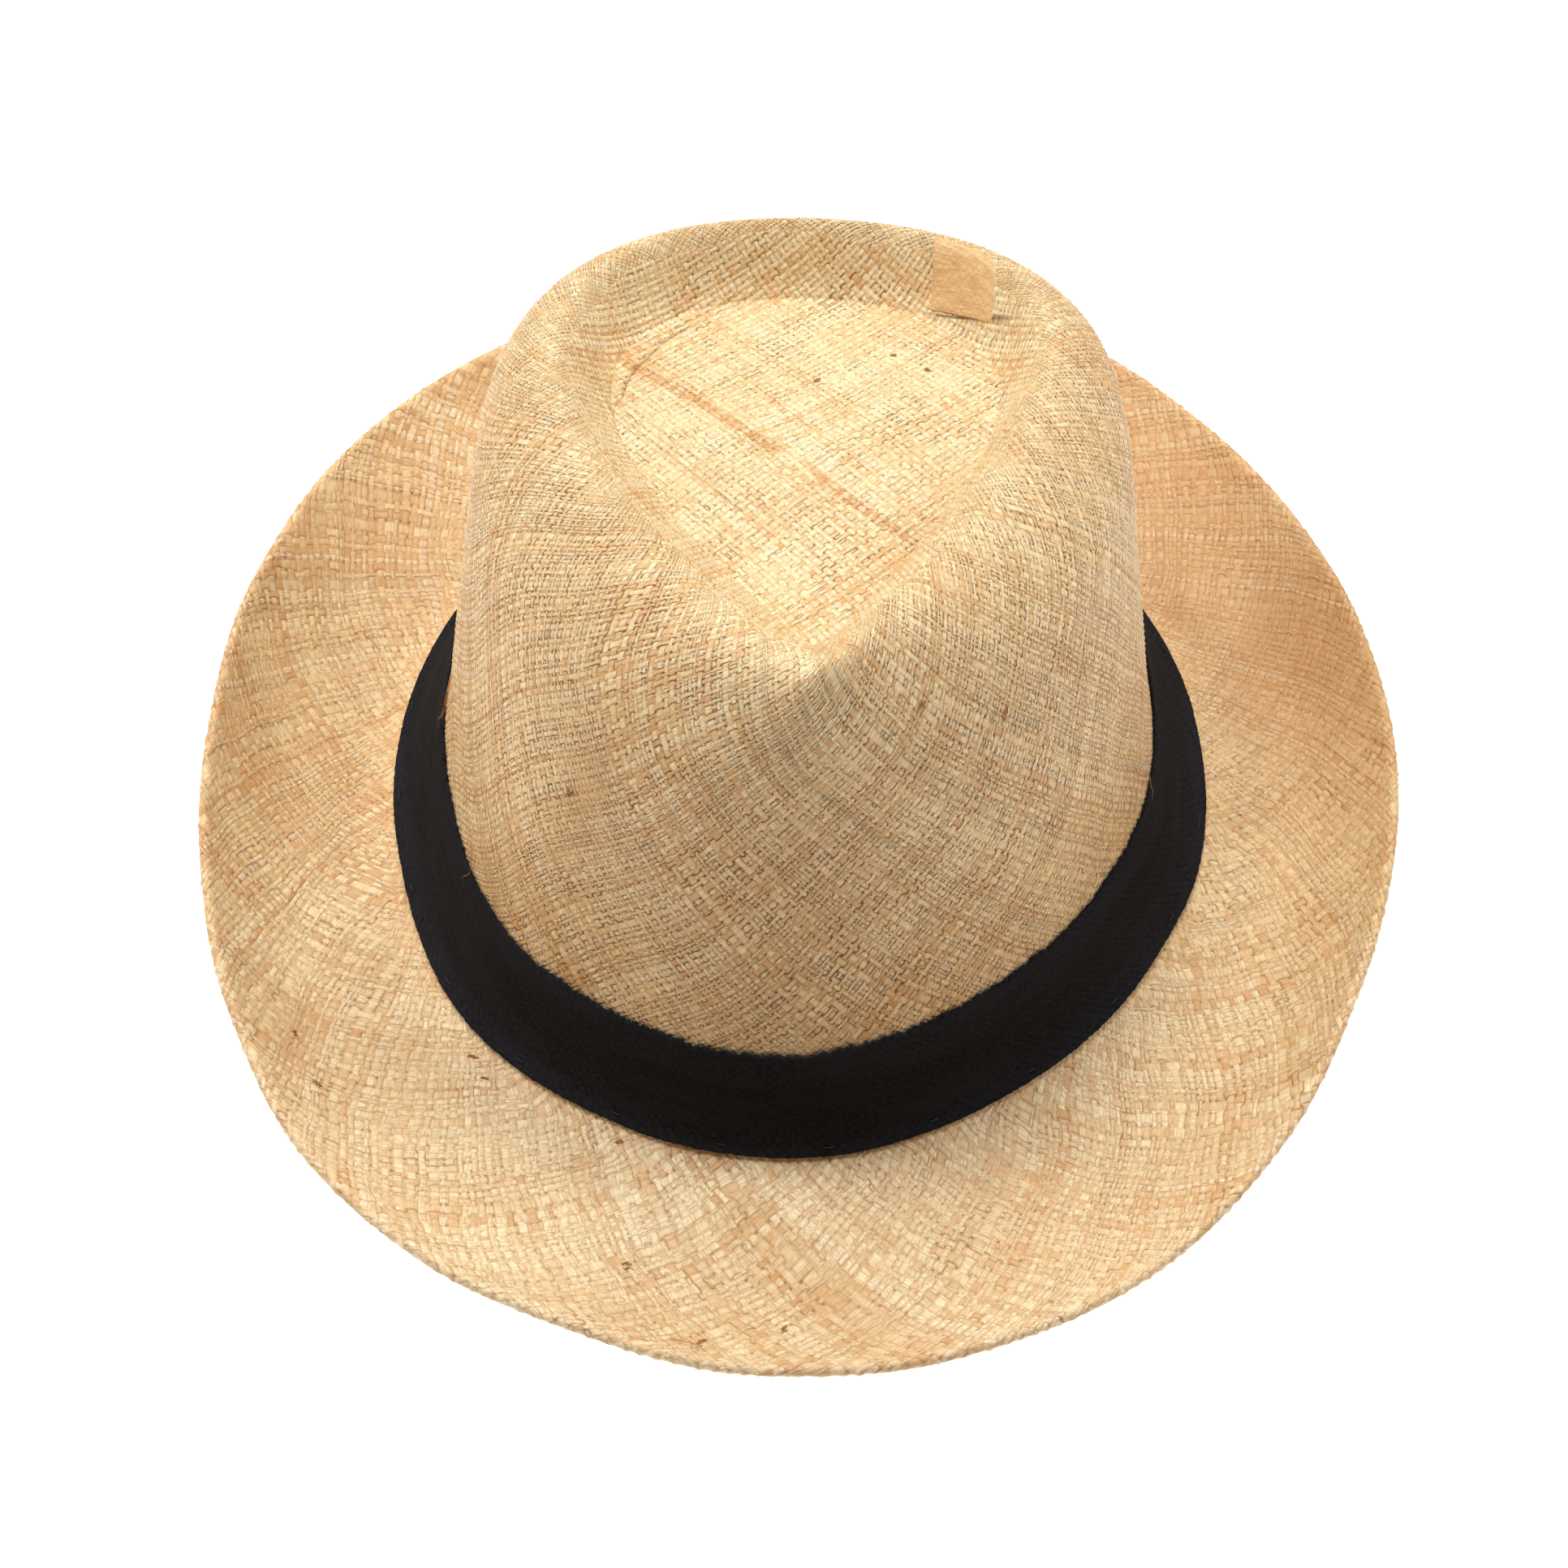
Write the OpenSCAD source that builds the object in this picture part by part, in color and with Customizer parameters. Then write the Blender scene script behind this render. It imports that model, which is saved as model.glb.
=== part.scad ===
// Panama hat: woven straw crown and brim, ribbon band, sweatband and their sewing.
// Millimetres. +Z is up, the front of the hat faces -Y, and the brim rests on z = 0.

/* [Crown base] */
// Width of the crown where it meets the brim, outside the straw
base_w = 174; // [150:1:190]
// Length of the crown where it meets the brim
base_l = 202; // [170:1:220]
// How far the crown's base sits behind the middle of the brim
base_shift = 3; // [0:0.5:10]

/* [Crown walls] */
// Height of the band line above the brim
line_h = 29; // [20:1:45]
// Width of the crown at the band line
line_w = 147; // [120:1:170]
// Length of the crown at the band line
line_l = 181; // [150:1:200]
// Height half way up the crown
mid_h = 60; // [45:1:75]
// Width half way up the crown
mid_w = 138; // [110:1:160]
// Length half way up the crown
mid_l = 166; // [140:1:195]
// how far the middle of the crown sits back, mm
mid_shift = 2.5; // [-5:0.5:10]
// Height of the shoulder, at the sides
shoulder_h = 90; // [75:1:105]
// Width of the crown at the shoulder
shoulder_w = 128; // [100:1:150]
// Length of the crown at the shoulder
shoulder_l = 152; // [130:1:185]
// how far the shoulder sits back, so that the front slopes straight up to the rim, mm
shoulder_shift = 5; // [-5:0.5:10]

/* [Crown top] */
// Height of the rounded rim round the dent, at the sides
rim_h = 100; // [85:1:115]
// How much lower the rim is at the back
rim_back_drop = 6.5; // [0:0.5:15]
// Width of the rim's teardrop
rim_w = 101; // [80:1:130]
// Length of the rim's teardrop
rim_l = 142; // [110:1:165]
// Width of the dent's floor
floor_w = 76; // [50:1:100]
// Length of the dent's floor
floor_l = 105; // [80:1:130]
// Depth of the dent below the rim
dent_depth = 12; // [5:0.5:25]
// How strongly the top narrows to a point at the front
teardrop = 0.87; // [0:0.01:1.3]

/* [Brim] */
// Whole width of the brim
brim_w = 253; // [220:1:300]
// Whole length of the brim
brim_l = 310; // [270:1:350]
// Rise of the brim's edge at the sides
curl_side = 19; // [0:0.5:35]
// Rise of the brim's edge at the front
curl_front = 14.5; // [-5:0.5:25]
// Rise of the brim's edge at the back
curl_back = 10; // [0:0.5:30]
// Thickness of the woven straw
straw_t = 1.2; // [0.8:0.1:2]
// Thickness of the turned-under hem
hem_t = 1; // [0.5:0.1:2]

/* [Ribbons] */
// Thickness of the outer band
band_t = 0.8; // [0.4:0.1:1.5]
// Thickness of the sleeve over the band's join
keeper_t = 0.8; // [0.4:0.1:1.5]
// Thickness of the sweatband
sweat_t = 0.9; // [0.4:0.1:1.5]
// Thickness of the tape over the sweatband's join
tape_t = 0.5; // [0.3:0.1:1]
// Thickness of the blank tab
tab_t = 0.3; // [0.2:0.05:0.6]
// Thickness of the lapped patch in the dent
patch_t = 0.4; // [0.2:0.1:1]

/* [Sewing] */
// Thickness of a stitch
stitch_t = 0.35; // [0.2:0.05:0.8]
// Stitches round the brim's hem
hem_stitches = 180; // [60:1:240]
// Angle that each hem stitch covers, degrees
hem_stitch_deg = 1.3; // [0.5:0.1:3]
// Stitches round the outer band
band_stitches = 24; // [12:1:60]
// Angle that each band stitch covers, degrees
band_stitch_deg = 1.5; // [0.5:0.1:3]
// Stitches round the sweatband
sweat_stitches = 120; // [36:1:160]
// Angle that each sweatband stitch covers, degrees
sweat_stitch_deg = 1.9; // [0.5:0.1:3]

/* [Hidden] */

straw_colour = [0.87, 0.70, 0.49];
hem_colour = [0.84, 0.67, 0.46];
thread_colour = [0.90, 0.78, 0.58];
patch_colour = [0.90, 0.75, 0.55];
band_colour = [0.05, 0.05, 0.05];
keeper_colour = [0.07, 0.07, 0.07];
black_thread_colour = [0.12, 0.12, 0.12];
sweat_colour = [0.16, 0.14, 0.13];
tape_colour = [0.22, 0.20, 0.18];
tab_colour = [0.92, 0.90, 0.85];

lay = 0.1;            // gap between two layers of cloth
segments = 72;        // facets round the hat
subdivide = 3;        // rings from one cross section to the next
turn = 360 / segments;
tip_round = 0.2;      // softness of the teardrop's point
probe_t = 0.05;       // step used to find the surface's slope, degrees
probe_s = 0.001;      // step used to find the surface's slope, sections

// Cross sections of the outer face, from the brim's edge to the middle of the dent:
// half width, half length, centre y, pointedness, z front, z side, z back, squareness
SECTIONS = [
    [brim_w / 2, brim_l / 2, 0, 0, curl_front, curl_side, curl_back, 0],
    [brim_w / 2 - 6, brim_l / 2 - 9, 0.5, 0, 0.6 * curl_front, 0.7 * curl_side, 0.6 * curl_back, 0],
    [brim_w / 2 - 15.5, brim_l / 2 - 23.5, 1.2, 0,
        0.25 * curl_front, 0.34 * curl_side, 0.22 * curl_back, 0],
    [base_w / 2 + 12, base_l / 2 + 13, 2.2, 0.02, 0.4, 1.5, 0.3, 0],
    [base_w / 2 + 5, base_l / 2 + 5.5, 2.8, 0.04, 0.3, 0.5, 0.3, 0],
    [base_w / 2, base_l / 2, base_shift, 0.05, 2.2, 2.2, 2.2, 0],
    [base_w / 2 - 5.5, base_l / 2 - 5, 1.5, 0.05, 9, 9, 9, 0],
    [line_w / 2, line_l / 2, -1.5, 0.05, line_h, line_h, line_h, 0],
    [mid_w / 2, mid_l / 2, mid_shift, 0.1, mid_h, mid_h, mid_h, -0.03],
    [shoulder_w / 2, shoulder_l / 2, shoulder_shift, 0.48,
        shoulder_h - 3, shoulder_h, shoulder_h - 8, -0.05],
    [rim_w / 2, rim_l / 2, 7, teardrop, rim_h + 1, rim_h, rim_h - rim_back_drop, -0.02],
    [floor_w / 2 + 3, floor_l / 2 + 4, 11.5, 1.2, rim_h - dent_depth + 1,
        rim_h - dent_depth + 1.5, rim_h - rim_back_drop - dent_depth + 1.5, 0],
    [floor_w / 2, floor_l / 2, 11.3, 1.15, rim_h - dent_depth - 1,
        rim_h - dent_depth, rim_h - rim_back_drop - dent_depth, 0],
    [26, 36, 10.5, 0.95, rim_h - dent_depth - 0.5,
        rim_h - dent_depth + 0.5, rim_h - rim_back_drop - dent_depth + 2, 0],
    [8, 11, 9.5, 0.5, rim_h - dent_depth + 1, rim_h - dent_depth + 1,
        rim_h - dent_depth - 1, 0]
];
LAST = len(SECTIONS) - 1;
HEM_END = 2 / 3;      // the hem's inner edge, in sections
BASE = 5;             // the section at the crown's base
LINE = 7;             // the section at the band line
RIM = 10;             // the section along the rim

// A smooth curve through the cross sections.
function row(i) = i < 0 ? 2 * SECTIONS[0] - SECTIONS[1]
    : i > LAST ? 2 * SECTIONS[LAST] - SECTIONS[LAST - 1] : SECTIONS[i];
function curve(a, b, c, d, u) = 0.5 * (2 * b + (c - a) * u
    + (2 * a - 5 * b + 4 * c - d) * u * u + (3 * b - a - 3 * c + d) * u * u * u);
function section_at(s) = let (i = min(floor(s), LAST - 1))
    curve(row(i - 1), row(i), row(i + 1), row(i + 2), s - i);

// The outline narrows towards the front as m grows.
function narrow(t, m) = sin(t) * pow(pow(sin(t / 2), 2) + tip_round * tip_round, m / 2);
function widest(m) = narrow(acos(-m / (2 + m)), m);
function face(s, t) = let (q = section_at(s), m = max(q[3], 0), c = cos(t),
        end_z = c > 0 ? q[4] : q[6])
    [q[0] * narrow(t, m) / widest(m),
     q[2] - q[1] * (c + q[7] * cos(3 * t)) / (1 + q[7]),
     q[5] + (end_z - q[5]) * c * c + straw_t];
function outward(s, t) = let (
        along = face(s, t + probe_t) - face(s, t - probe_t),
        up = face(min(s + probe_s, LAST), t) - face(max(s - probe_s, 0), t),
        n = cross(along, up))
    n / norm(n);
// A point at section s and angle t, lifted d off the outer face.
function lifted(s, t, d) = face(s, t) + outward(s, t) * d;

function sections(from, to) = [for (i = [0 : round((to - from) * subdivide)])
    from + i / subdivide];
function layer(ss, ts, d) = [for (s = ss) for (t = ts) lifted(s, t, d)];

// A ring of cloth between two heights off the face, closed at the middle if capped.
module cloth_ring(from, to, low, high, capped = false) {
    ss = sections(from, to);
    ts = [for (j = [0 : segments - 1]) j * turn];
    n = segments;
    r = len(ss);
    half = r * n;
    top = lifted(to, 0, high);
    bottom = lifted(to, 0, low);
    middle = capped ? [[0, SECTIONS[LAST][2], top[2]], [0, SECTIONS[LAST][2], bottom[2]]] : [];
    points = concat(layer(ss, ts, high), layer(ss, ts, low), middle);
    walls = [for (i = [0 : r - 2]) for (j = [0 : n - 1])
        let (k = (j + 1) % n, a = i * n + j, b = i * n + k, c = a + n, d = b + n)
        each [[a, c, d], [a, d, b], [half + a, half + d, half + c], [half + a, half + b, half + d]]];
    outer_edge = [for (j = [0 : n - 1]) let (k = (j + 1) % n)
        each [[half + j, j, k], [half + j, k, half + k]]];
    e = (r - 1) * n;
    inner_edge = capped
        ? [for (j = [0 : n - 1]) let (k = (j + 1) % n)
            each [[e + j, 2 * half, e + k], [half + e + j, half + e + k, 2 * half + 1]]]
        : [for (j = [0 : n - 1]) let (k = (j + 1) % n)
            each [[half + e + j, e + k, e + j], [half + e + j, half + e + k, e + k]]];
    polyhedron(points, concat(walls, outer_edge, inner_edge), convexity = 6);
}

// A piece of cloth over part of the turn. lean shifts its angle from section to section.
module cloth_patch(ss, t_from, t_to, columns, low, high, lean = 0) {
    n = columns + 1;
    r = len(ss);
    half = r * n;
    points = [for (d = [high, low]) for (s = ss) for (j = [0 : columns])
        lifted(s, t_from + (t_to - t_from) * j / columns + lean * (s - ss[0]), d)];
    walls = [for (i = [0 : r - 2]) for (j = [0 : columns - 1])
        let (a = i * n + j, b = a + 1, c = a + n, d = b + n)
        each [[a, c, d], [a, d, b], [half + a, half + d, half + c], [half + a, half + b, half + d]]];
    e = (r - 1) * n;
    rows_edge = [for (j = [0 : columns - 1]) let (k = j + 1)
        each [[half + j, j, k], [half + j, k, half + k],
              [half + e + j, e + k, e + j], [half + e + j, half + e + k, e + k]]];
    sides = [for (i = [0 : r - 2]) let (a = i * n, c = a + n, b = a + columns, d = c + columns)
        each [[half + c, c, a], [half + c, a, half + a],
              [half + d, b, d], [half + d, half + b, b]]];
    polyhedron(points, concat(walls, rows_edge, sides), convexity = 4);
}

// Stitches along the turn at section s, left out within skip degrees of the back.
module stitch_line(s, count, length_deg, width_s, low, skip) {
    for (j = [0 : count - 1]) {
        t = (j + 0.5) * 360 / count;
        if (abs(t - 180) > skip) {
            cloth_patch([s - width_s, s + width_s], t - length_deg / 2, t + length_deg / 2,
                1, low, low + stitch_t);
        }
    }
}

sweat_face = -straw_t - lay - sweat_t;
keeper_deg = turn;

module hat_body() {
    color(straw_colour) cloth_ring(0, LAST, -straw_t, 0, true);
}

module brim_hem() {
    color(hem_colour) cloth_ring(0, HEM_END, -straw_t - lay - hem_t, -straw_t - lay);
}

module hem_stitching() {
    color(thread_colour)
        stitch_line(0.5, hem_stitches, hem_stitch_deg, 0.03,
            -straw_t - lay - hem_t - lay - stitch_t, 0);
}

module crown_lap_patch() {
    color(patch_colour)
        cloth_patch([for (i = [0 : 4]) RIM + 0.1 + i * 0.17], 140, 160, 6, lay, lay + patch_t, -12);
}

module hat_band() {
    color(band_colour) cloth_ring(BASE, LINE, lay, lay + band_t);
}

module band_stitching() {
    color(black_thread_colour)
        stitch_line(BASE + 0.35, band_stitches, band_stitch_deg, 0.02, 2 * lay + band_t,
            2 * keeper_deg);
}

module band_keeper() {
    color(keeper_colour)
        cloth_patch(sections(BASE, LINE), 180 - keeper_deg, 180 + keeper_deg, 2,
            2 * lay + band_t, 2 * lay + band_t + keeper_t);
}

module sweatband() {
    color(sweat_colour) cloth_ring(BASE, LINE, sweat_face, sweat_face + sweat_t);
}

module sweatband_stitching() {
    color(thread_colour)
        stitch_line(BASE + 0.5, sweat_stitches, sweat_stitch_deg, 0.03,
            sweat_face - 2 * lay - stitch_t, 2 * turn);
}

module sweatband_seam_tape() {
    color(tape_colour)
        cloth_patch(sections(BASE, LINE), 180 - turn, 180 + turn, 2,
            sweat_face - lay - tape_t, sweat_face - lay);
}

module size_tab() {
    color(tab_colour)
        cloth_patch(sections(BASE + 1, LINE), 180 + 3 * turn, 180 + 5 * turn, 2,
            sweat_face - lay - tab_t, sweat_face - lay);
}

hat_body();
brim_hem();
hem_stitching();
crown_lap_patch();
hat_band();
band_stitching();
band_keeper();
sweatband();
sweatband_stitching();
sweatband_seam_tape();
size_tab();
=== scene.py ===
import math
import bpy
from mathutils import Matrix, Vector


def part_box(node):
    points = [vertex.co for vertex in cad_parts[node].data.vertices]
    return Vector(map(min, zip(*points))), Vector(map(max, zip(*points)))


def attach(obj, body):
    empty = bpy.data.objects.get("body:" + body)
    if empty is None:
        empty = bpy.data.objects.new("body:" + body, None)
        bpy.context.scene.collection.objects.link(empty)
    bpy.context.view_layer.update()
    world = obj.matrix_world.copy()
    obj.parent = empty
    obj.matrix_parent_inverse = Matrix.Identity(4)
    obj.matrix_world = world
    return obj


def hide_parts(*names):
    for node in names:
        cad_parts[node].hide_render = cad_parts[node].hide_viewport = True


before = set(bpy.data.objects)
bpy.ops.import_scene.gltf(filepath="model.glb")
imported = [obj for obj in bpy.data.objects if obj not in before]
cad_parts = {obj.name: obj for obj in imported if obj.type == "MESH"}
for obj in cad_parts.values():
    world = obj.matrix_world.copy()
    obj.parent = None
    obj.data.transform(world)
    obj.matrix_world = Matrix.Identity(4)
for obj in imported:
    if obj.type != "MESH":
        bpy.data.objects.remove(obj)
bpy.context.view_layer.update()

from types import SimpleNamespace

import bpy
import numpy as np
from mathutils import Vector

MM = 0.001
TAU = 2 * math.pi
BODY = "root"

# ---------------- the hat's surface
# Cross sections of the outer face, as in the CAD: half width, half length, centre y,
# pointedness, z front, z side, z back, squareness. Millimetres.
SECTIONS = np.array([
    [126.5, 155, 0, 0, 14.5, 19, 10, 0],
    [120.5, 146, 0.5, 0, 8.7, 13.3, 6, 0],
    [111, 131.5, 1.2, 0, 3.625, 6.46, 2.2, 0],
    [99, 114, 2.2, 0.02, 0.4, 1.5, 0.3, 0],
    [92, 106.5, 2.8, 0.04, 0.3, 0.5, 0.3, 0],
    [87, 101, 3, 0.05, 2.2, 2.2, 2.2, 0],
    [81.5, 96, 1.5, 0.05, 9, 9, 9, 0],
    [73.5, 90.5, -1.5, 0.05, 29, 29, 29, 0],
    [69, 83, 2.5, 0.1, 60, 60, 60, -0.03],
    [64, 76, 5, 0.48, 87, 90, 82, -0.05],
    [50.5, 71, 7, 0.87, 101, 100, 93.5, -0.02],
    [41, 56.5, 11.5, 1.2, 89, 89.5, 83, 0],
    [38, 52.5, 11.3, 1.15, 87, 88, 81.5, 0],
    [26, 36, 10.5, 0.95, 87.5, 88.5, 83.5, 0],
    [8, 11, 9.5, 0.5, 89, 89, 87, 0],
], float)
LAST = len(SECTIONS) - 1
BASE, LINE, CREASE = 5.0, 7.0, 11.7
STRAW_T, HEM_T, LAY = 1.2, 1.0, 0.1
BAND_T, KEEPER_T, SWEAT_T, TAPE_T, TAB_T, PATCH_T, STITCH_T = 0.8, 0.8, 0.9, 0.5, 0.3, 0.4, 0.35
TURN = math.radians(5)
TIP_ROUND = 0.2


def section_at(s):
    s = np.clip(np.asarray(s, float), 0, LAST)
    i = np.minimum(s.astype(int), LAST - 1)
    u = (s - i)[..., None]
    rows = np.concatenate([[2 * SECTIONS[0] - SECTIONS[1]], SECTIONS, [2 * SECTIONS[-1] - SECTIONS[-2]]])
    a, b, c, d = rows[i], rows[i + 1], rows[i + 2], rows[i + 3]
    return 0.5 * (2 * b + (c - a) * u + (2 * a - 5 * b + 4 * c - d) * u * u
                  + (3 * b - a - 3 * c + d) * u ** 3)


def narrow(t, m):
    return np.sin(t) * (np.sin(t / 2) ** 2 + TIP_ROUND ** 2) ** (m / 2)


def blocked(s, t):
    """The outer face as blocked, quite even, as in the CAD."""
    s, t = np.broadcast_arrays(s, t)
    a, b, y, m, zf, zs, zb, k = np.moveaxis(section_at(s), -1, 0)
    m = np.maximum(m, 0)
    c = np.cos(t)
    x = a * narrow(t, m) / narrow(np.arccos(-m / (2 + m)), m)
    y = y - b * (c + k * np.cos(3 * t)) / (1 + k)
    z = zs + np.where(c > 0, zf - zs, zb - zs) * c * c + STRAW_T
    return np.stack([x, y, z], -1)


def ease(x):
    x = np.clip(x, 0, 1)
    return x * x * (3 - 2 * x)


def between(s, start, rise, end, fall):
    """1 between two sections, easing in after start and out before end."""
    return ease((s - start) / rise) * ease((end - s) / fall)


def wander(deg, table):
    """A smooth closed curve through (angle, value) pairs."""
    a = np.array([row[0] for row in table] + [table[0][0] + 360], float)
    v = np.array([row[1] for row in table] + [table[0][1]], float)
    i = np.clip(np.searchsorted(a, deg, side="right") - 1, 0, len(a) - 2)
    f = (deg - a[i]) / (a[i + 1] - a[i])
    return v[i] + (v[i + 1] - v[i]) * ease(f)


# How the made hat strays from its block: pairs of angle from the front, in degrees, and millimetres.
# The brim's edge lifts and reaches unevenly, and the crown's base swells a little.
BRIM_LIFT = [(-180, 0), (-135, 1.5), (-110, 1.0), (-75, 0), (-45, 2.2), (-22, 4.8), (0, 3.2), (16, 2.0),
             (35, -1), (60, -0.5), (80, 0), (120, -1.5), (150, 0)]
BRIM_REACH = [(-180, 0), (-140, 1.2), (-120, 1.2), (-105, 0), (-88, -1.6), (-75, -1.5), (-60, -0.4),
              (-45, 1.3), (-30, 0.6), (-15, -1.3), (0, -0.5), (20, 0.2), (38, 0.7), (50, 0), (65, -1.6),
              (90, -0.5), (105, -0.8), (120, -1.4), (135, -1.6), (150, 0)]
BASE_REACH = [(-180, 0), (-75, 0.5), (-45, 3.2), (-20, 1.2), (0, 0.6), (30, -0.6), (60, 0.6), (75, 1.6),
              (100, 0.5), (130, 0)]
# The ridge round the dent is pinched further in, and a little higher, on the front left of the hat.
RIDGE_IN = [(-180, 0), (-40, 0), (-10, 2.0), (15, 4.0), (40, 5.2), (70, 5.2), (95, 2.5), (120, 0)]
RIDGE_UP = [(-180, 0), (-60, 0), (-20, 2.0), (0, 3.0), (30, 2.5), (60, 1.0), (90, 0)]
DENT_LEAN = 6.5        # how far the dent's point leans to one side
LEAN_FROM_Y, LEAN_OVER = 25, 85
FREE_BRIM = 4.5        # the brim is free of the crown up to this section


def degrees_round(t):
    """The angle from the front, from -180 to 180 degrees."""
    return np.degrees((t + math.pi) % TAU - math.pi)


def face(s, t):
    """The outer face as made, with its small unevenness."""
    s, t = np.broadcast_arrays(s, t)
    x, y, z = np.moveaxis(blocked(s, t), -1, 0)
    deg = degrees_round(t)
    free = np.clip((FREE_BRIM - s) / FREE_BRIM, 0, 1) ** 1.5
    ridge = between(s, 8.9, 1.3, 11.6, 1.3)
    lean = DENT_LEAN * between(s, 8.7, 1.6, 14.6, 2.5) * ease((LEAN_FROM_Y - y) / LEAN_OVER)
    reach = free * wander(deg, BRIM_REACH) + between(s, 3, 2, 9, 2) * wander(deg, BASE_REACH)
    reach = reach - ridge * wander(deg, RIDGE_IN)
    lift = free * wander(deg, BRIM_LIFT) + ridge * wander(deg, RIDGE_UP)
    return np.stack([x + reach * np.sin(t) + lean, y - reach * np.cos(t), z + lift], -1)


def unit(v):
    return v / np.maximum(np.linalg.norm(v, axis=-1, keepdims=True), 1e-12)


def outward(s, t, shape=face, e=1e-3):
    along = shape(s, t + e) - shape(s, t - e)
    up = shape(np.minimum(s + e, LAST), t) - shape(np.maximum(s - e, 0), t)
    return unit(np.cross(along, up))


def lifted(s, t, d, shape=face):
    return shape(s, t) + outward(s, t, shape) * np.asarray(d)[..., None]


# The formulas above are scaled to the imported body, so that model.glb sets the size.
_lo, _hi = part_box("hat_body")
_grid_t = np.radians(np.arange(0, 360, 5.0))
_ss, _tt = np.meshgrid(np.arange(0, LAST + 0.01, 1 / 3), _grid_t, indexing="ij")
_all = np.concatenate([lifted(_ss, _tt, d + 0 * _ss, blocked).reshape(-1, 3) for d in (0, -STRAW_T)])
_low, _high = _all.min(0), _all.max(0)
SCALE = (np.array(_hi) - np.array(_lo)) / (_high - _low)
SHIFT = (np.array(_hi) + np.array(_lo)) / 2 - SCALE * (_high + _low) / 2


def metres(p):
    return p * SCALE + SHIFT


def section_mm(s, step=0.01):
    """Mean length along the face that one section covers, near s."""
    across = face(s + step / 2, _grid_t) - face(s - step / 2, _grid_t)
    return float(np.mean(np.linalg.norm(across, axis=-1))) / step


# ---------------- weave coordinates
# Straw strands run in two families that spiral round the hat. A place in the weave is
# (u, v), counted in strands. v - u grows from the hem up to the rim.
N = 290
S_FOLD = 0.12          # where the brim's face rolls over into the fold
FOLD_R = (STRAW_T + LAY + HEM_T) / 2
S_SEAM = 10.34         # where the spiral weave gives way to the top's square weave
EDGE_MM = section_mm(0.2, 0.2)
# Strand k is thin where k * THIN_STEP, wrapped at 1, falls below THIN_SHARE.
THIN_STEP, THIN_SHARE, THIN_OFFSET = 0.618034, 0.13, 0.31

_sg = np.arange(0, LAST + 1e-6, 0.05)
_tg = np.linspace(0, TAU, 1441)
_pg = face(_sg[:, None], _tg[None, :])
_step = np.linalg.norm(np.diff(_pg, axis=1), axis=-1)
_len = np.concatenate([np.zeros((len(_sg), 1)), np.cumsum(_step, 1)], 1)
RING = _len[:, -1]
_theta_of_t = 0.85 * _len / RING[:, None] * TAU + 0.15 * _tg[None, :]
_th = np.linspace(0, TAU, 1441)
T_TABLE = np.array([np.interp(_th, row, _tg) for row in _theta_of_t])


def t_from_theta(s, theta):
    """The surface's angle at lattice angle theta, evened out along each ring."""
    turns = np.floor(theta / TAU)
    x = (theta - turns * TAU) / TAU * 1440
    y = np.clip(s, 0, LAST) / 0.05
    i, j = np.minimum(y.astype(int), len(_sg) - 2), np.minimum(x.astype(int), 1439)
    fy, fx = y - i, x - j
    t = ((1 - fy) * ((1 - fx) * T_TABLE[i, j] + fx * T_TABLE[i, j + 1])
         + fy * ((1 - fx) * T_TABLE[i + 1, j] + fx * T_TABLE[i + 1, j + 1]))
    return t + turns * TAU


_se = np.arange(-1.4, LAST, 0.01)
_ds = np.array([section_mm(s) for s in np.clip(_se, 0.01, LAST - 0.01)])
_ring = np.interp(np.clip(_se, 0, LAST), _sg, RING)
# How steeply each family climbs over the hat, in degrees, from section to section.
CLIMB_AT = [0, 1.5, 3, 5, 7, 9, 10.4]
_a1 = np.radians(np.interp(_se, CLIMB_AT, [34, 41, 47, 50, 43, 43, 52]))
_a2 = np.radians(np.interp(_se, CLIMB_AT, [44, 47, 50, 50, 45, 46, 54]))
_g1 = np.cumsum(0.01 * _ds / (_ring / TAU) / np.tan(_a1))
_g2 = np.cumsum(0.01 * _ds / (_ring / TAU) / np.tan(_a2))
_g1 -= np.interp(-1.3, _se, _g1)
_g2 -= np.interp(-1.3, _se, _g2)
_gs = (_g1 + _g2) * N / TAU


def row_of(s):
    return np.interp(s, _se, _gs)


def drift(s, theta):
    """How far the strands of both families swing round together."""
    one = np.interp(s, [6, 8, 10], [0, -0.03, -0.07])
    two = np.interp(s, [0, 5], [0, 0.04])
    return one * np.sin(theta) + two * np.sin(2 * theta)


def place(u, v):
    """Section and surface angle of a place in the weave."""
    s = np.interp(v - u, _gs, _se)
    base = u * TAU / N + np.interp(s, _se, _g1) + math.pi
    theta = base
    for _ in range(8):
        theta = base + drift(s, theta)
    wob = 0.0035 * np.sin(9 * theta + 3.1 * s) + 0.003 * np.sin(17 * theta - 5.3 * s + 1)
    s = s + 0.05 * np.sin(7 * theta + 2.3 * s + 0.4) * np.clip(s - 0.4, 0, 1) * np.clip(10 - s, 0, 1)
    return s, t_from_theta(s, theta + wob)


def cloth(s, t, d):
    """A point d above the straw's face. Below S_FOLD it rolls over the brim's edge into the hem."""
    s_in = np.maximum(s, S_FOLD)
    over = np.maximum(S_FOLD - s, 0) * EDGE_MM
    phi = np.minimum(over / FOLD_R, math.pi)
    back = np.maximum(over - math.pi * FOLD_R, 0) / EDGE_MM
    s_at = np.where(over > 0, S_FOLD + back, s_in)
    n = outward(s_at, t)
    e = 1e-3
    out = unit(face(s_at, t) - face(s_at + e, t))
    flat = face(s_at, t) + n * d[..., None]
    lift = FOLD_R + d
    turned = out * np.sin(phi)[..., None] + n * np.cos(phi)[..., None]
    roll = face(s_at, t) - n * FOLD_R + turned * lift[..., None]
    return np.where((over > 0)[..., None], roll, flat)


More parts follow.
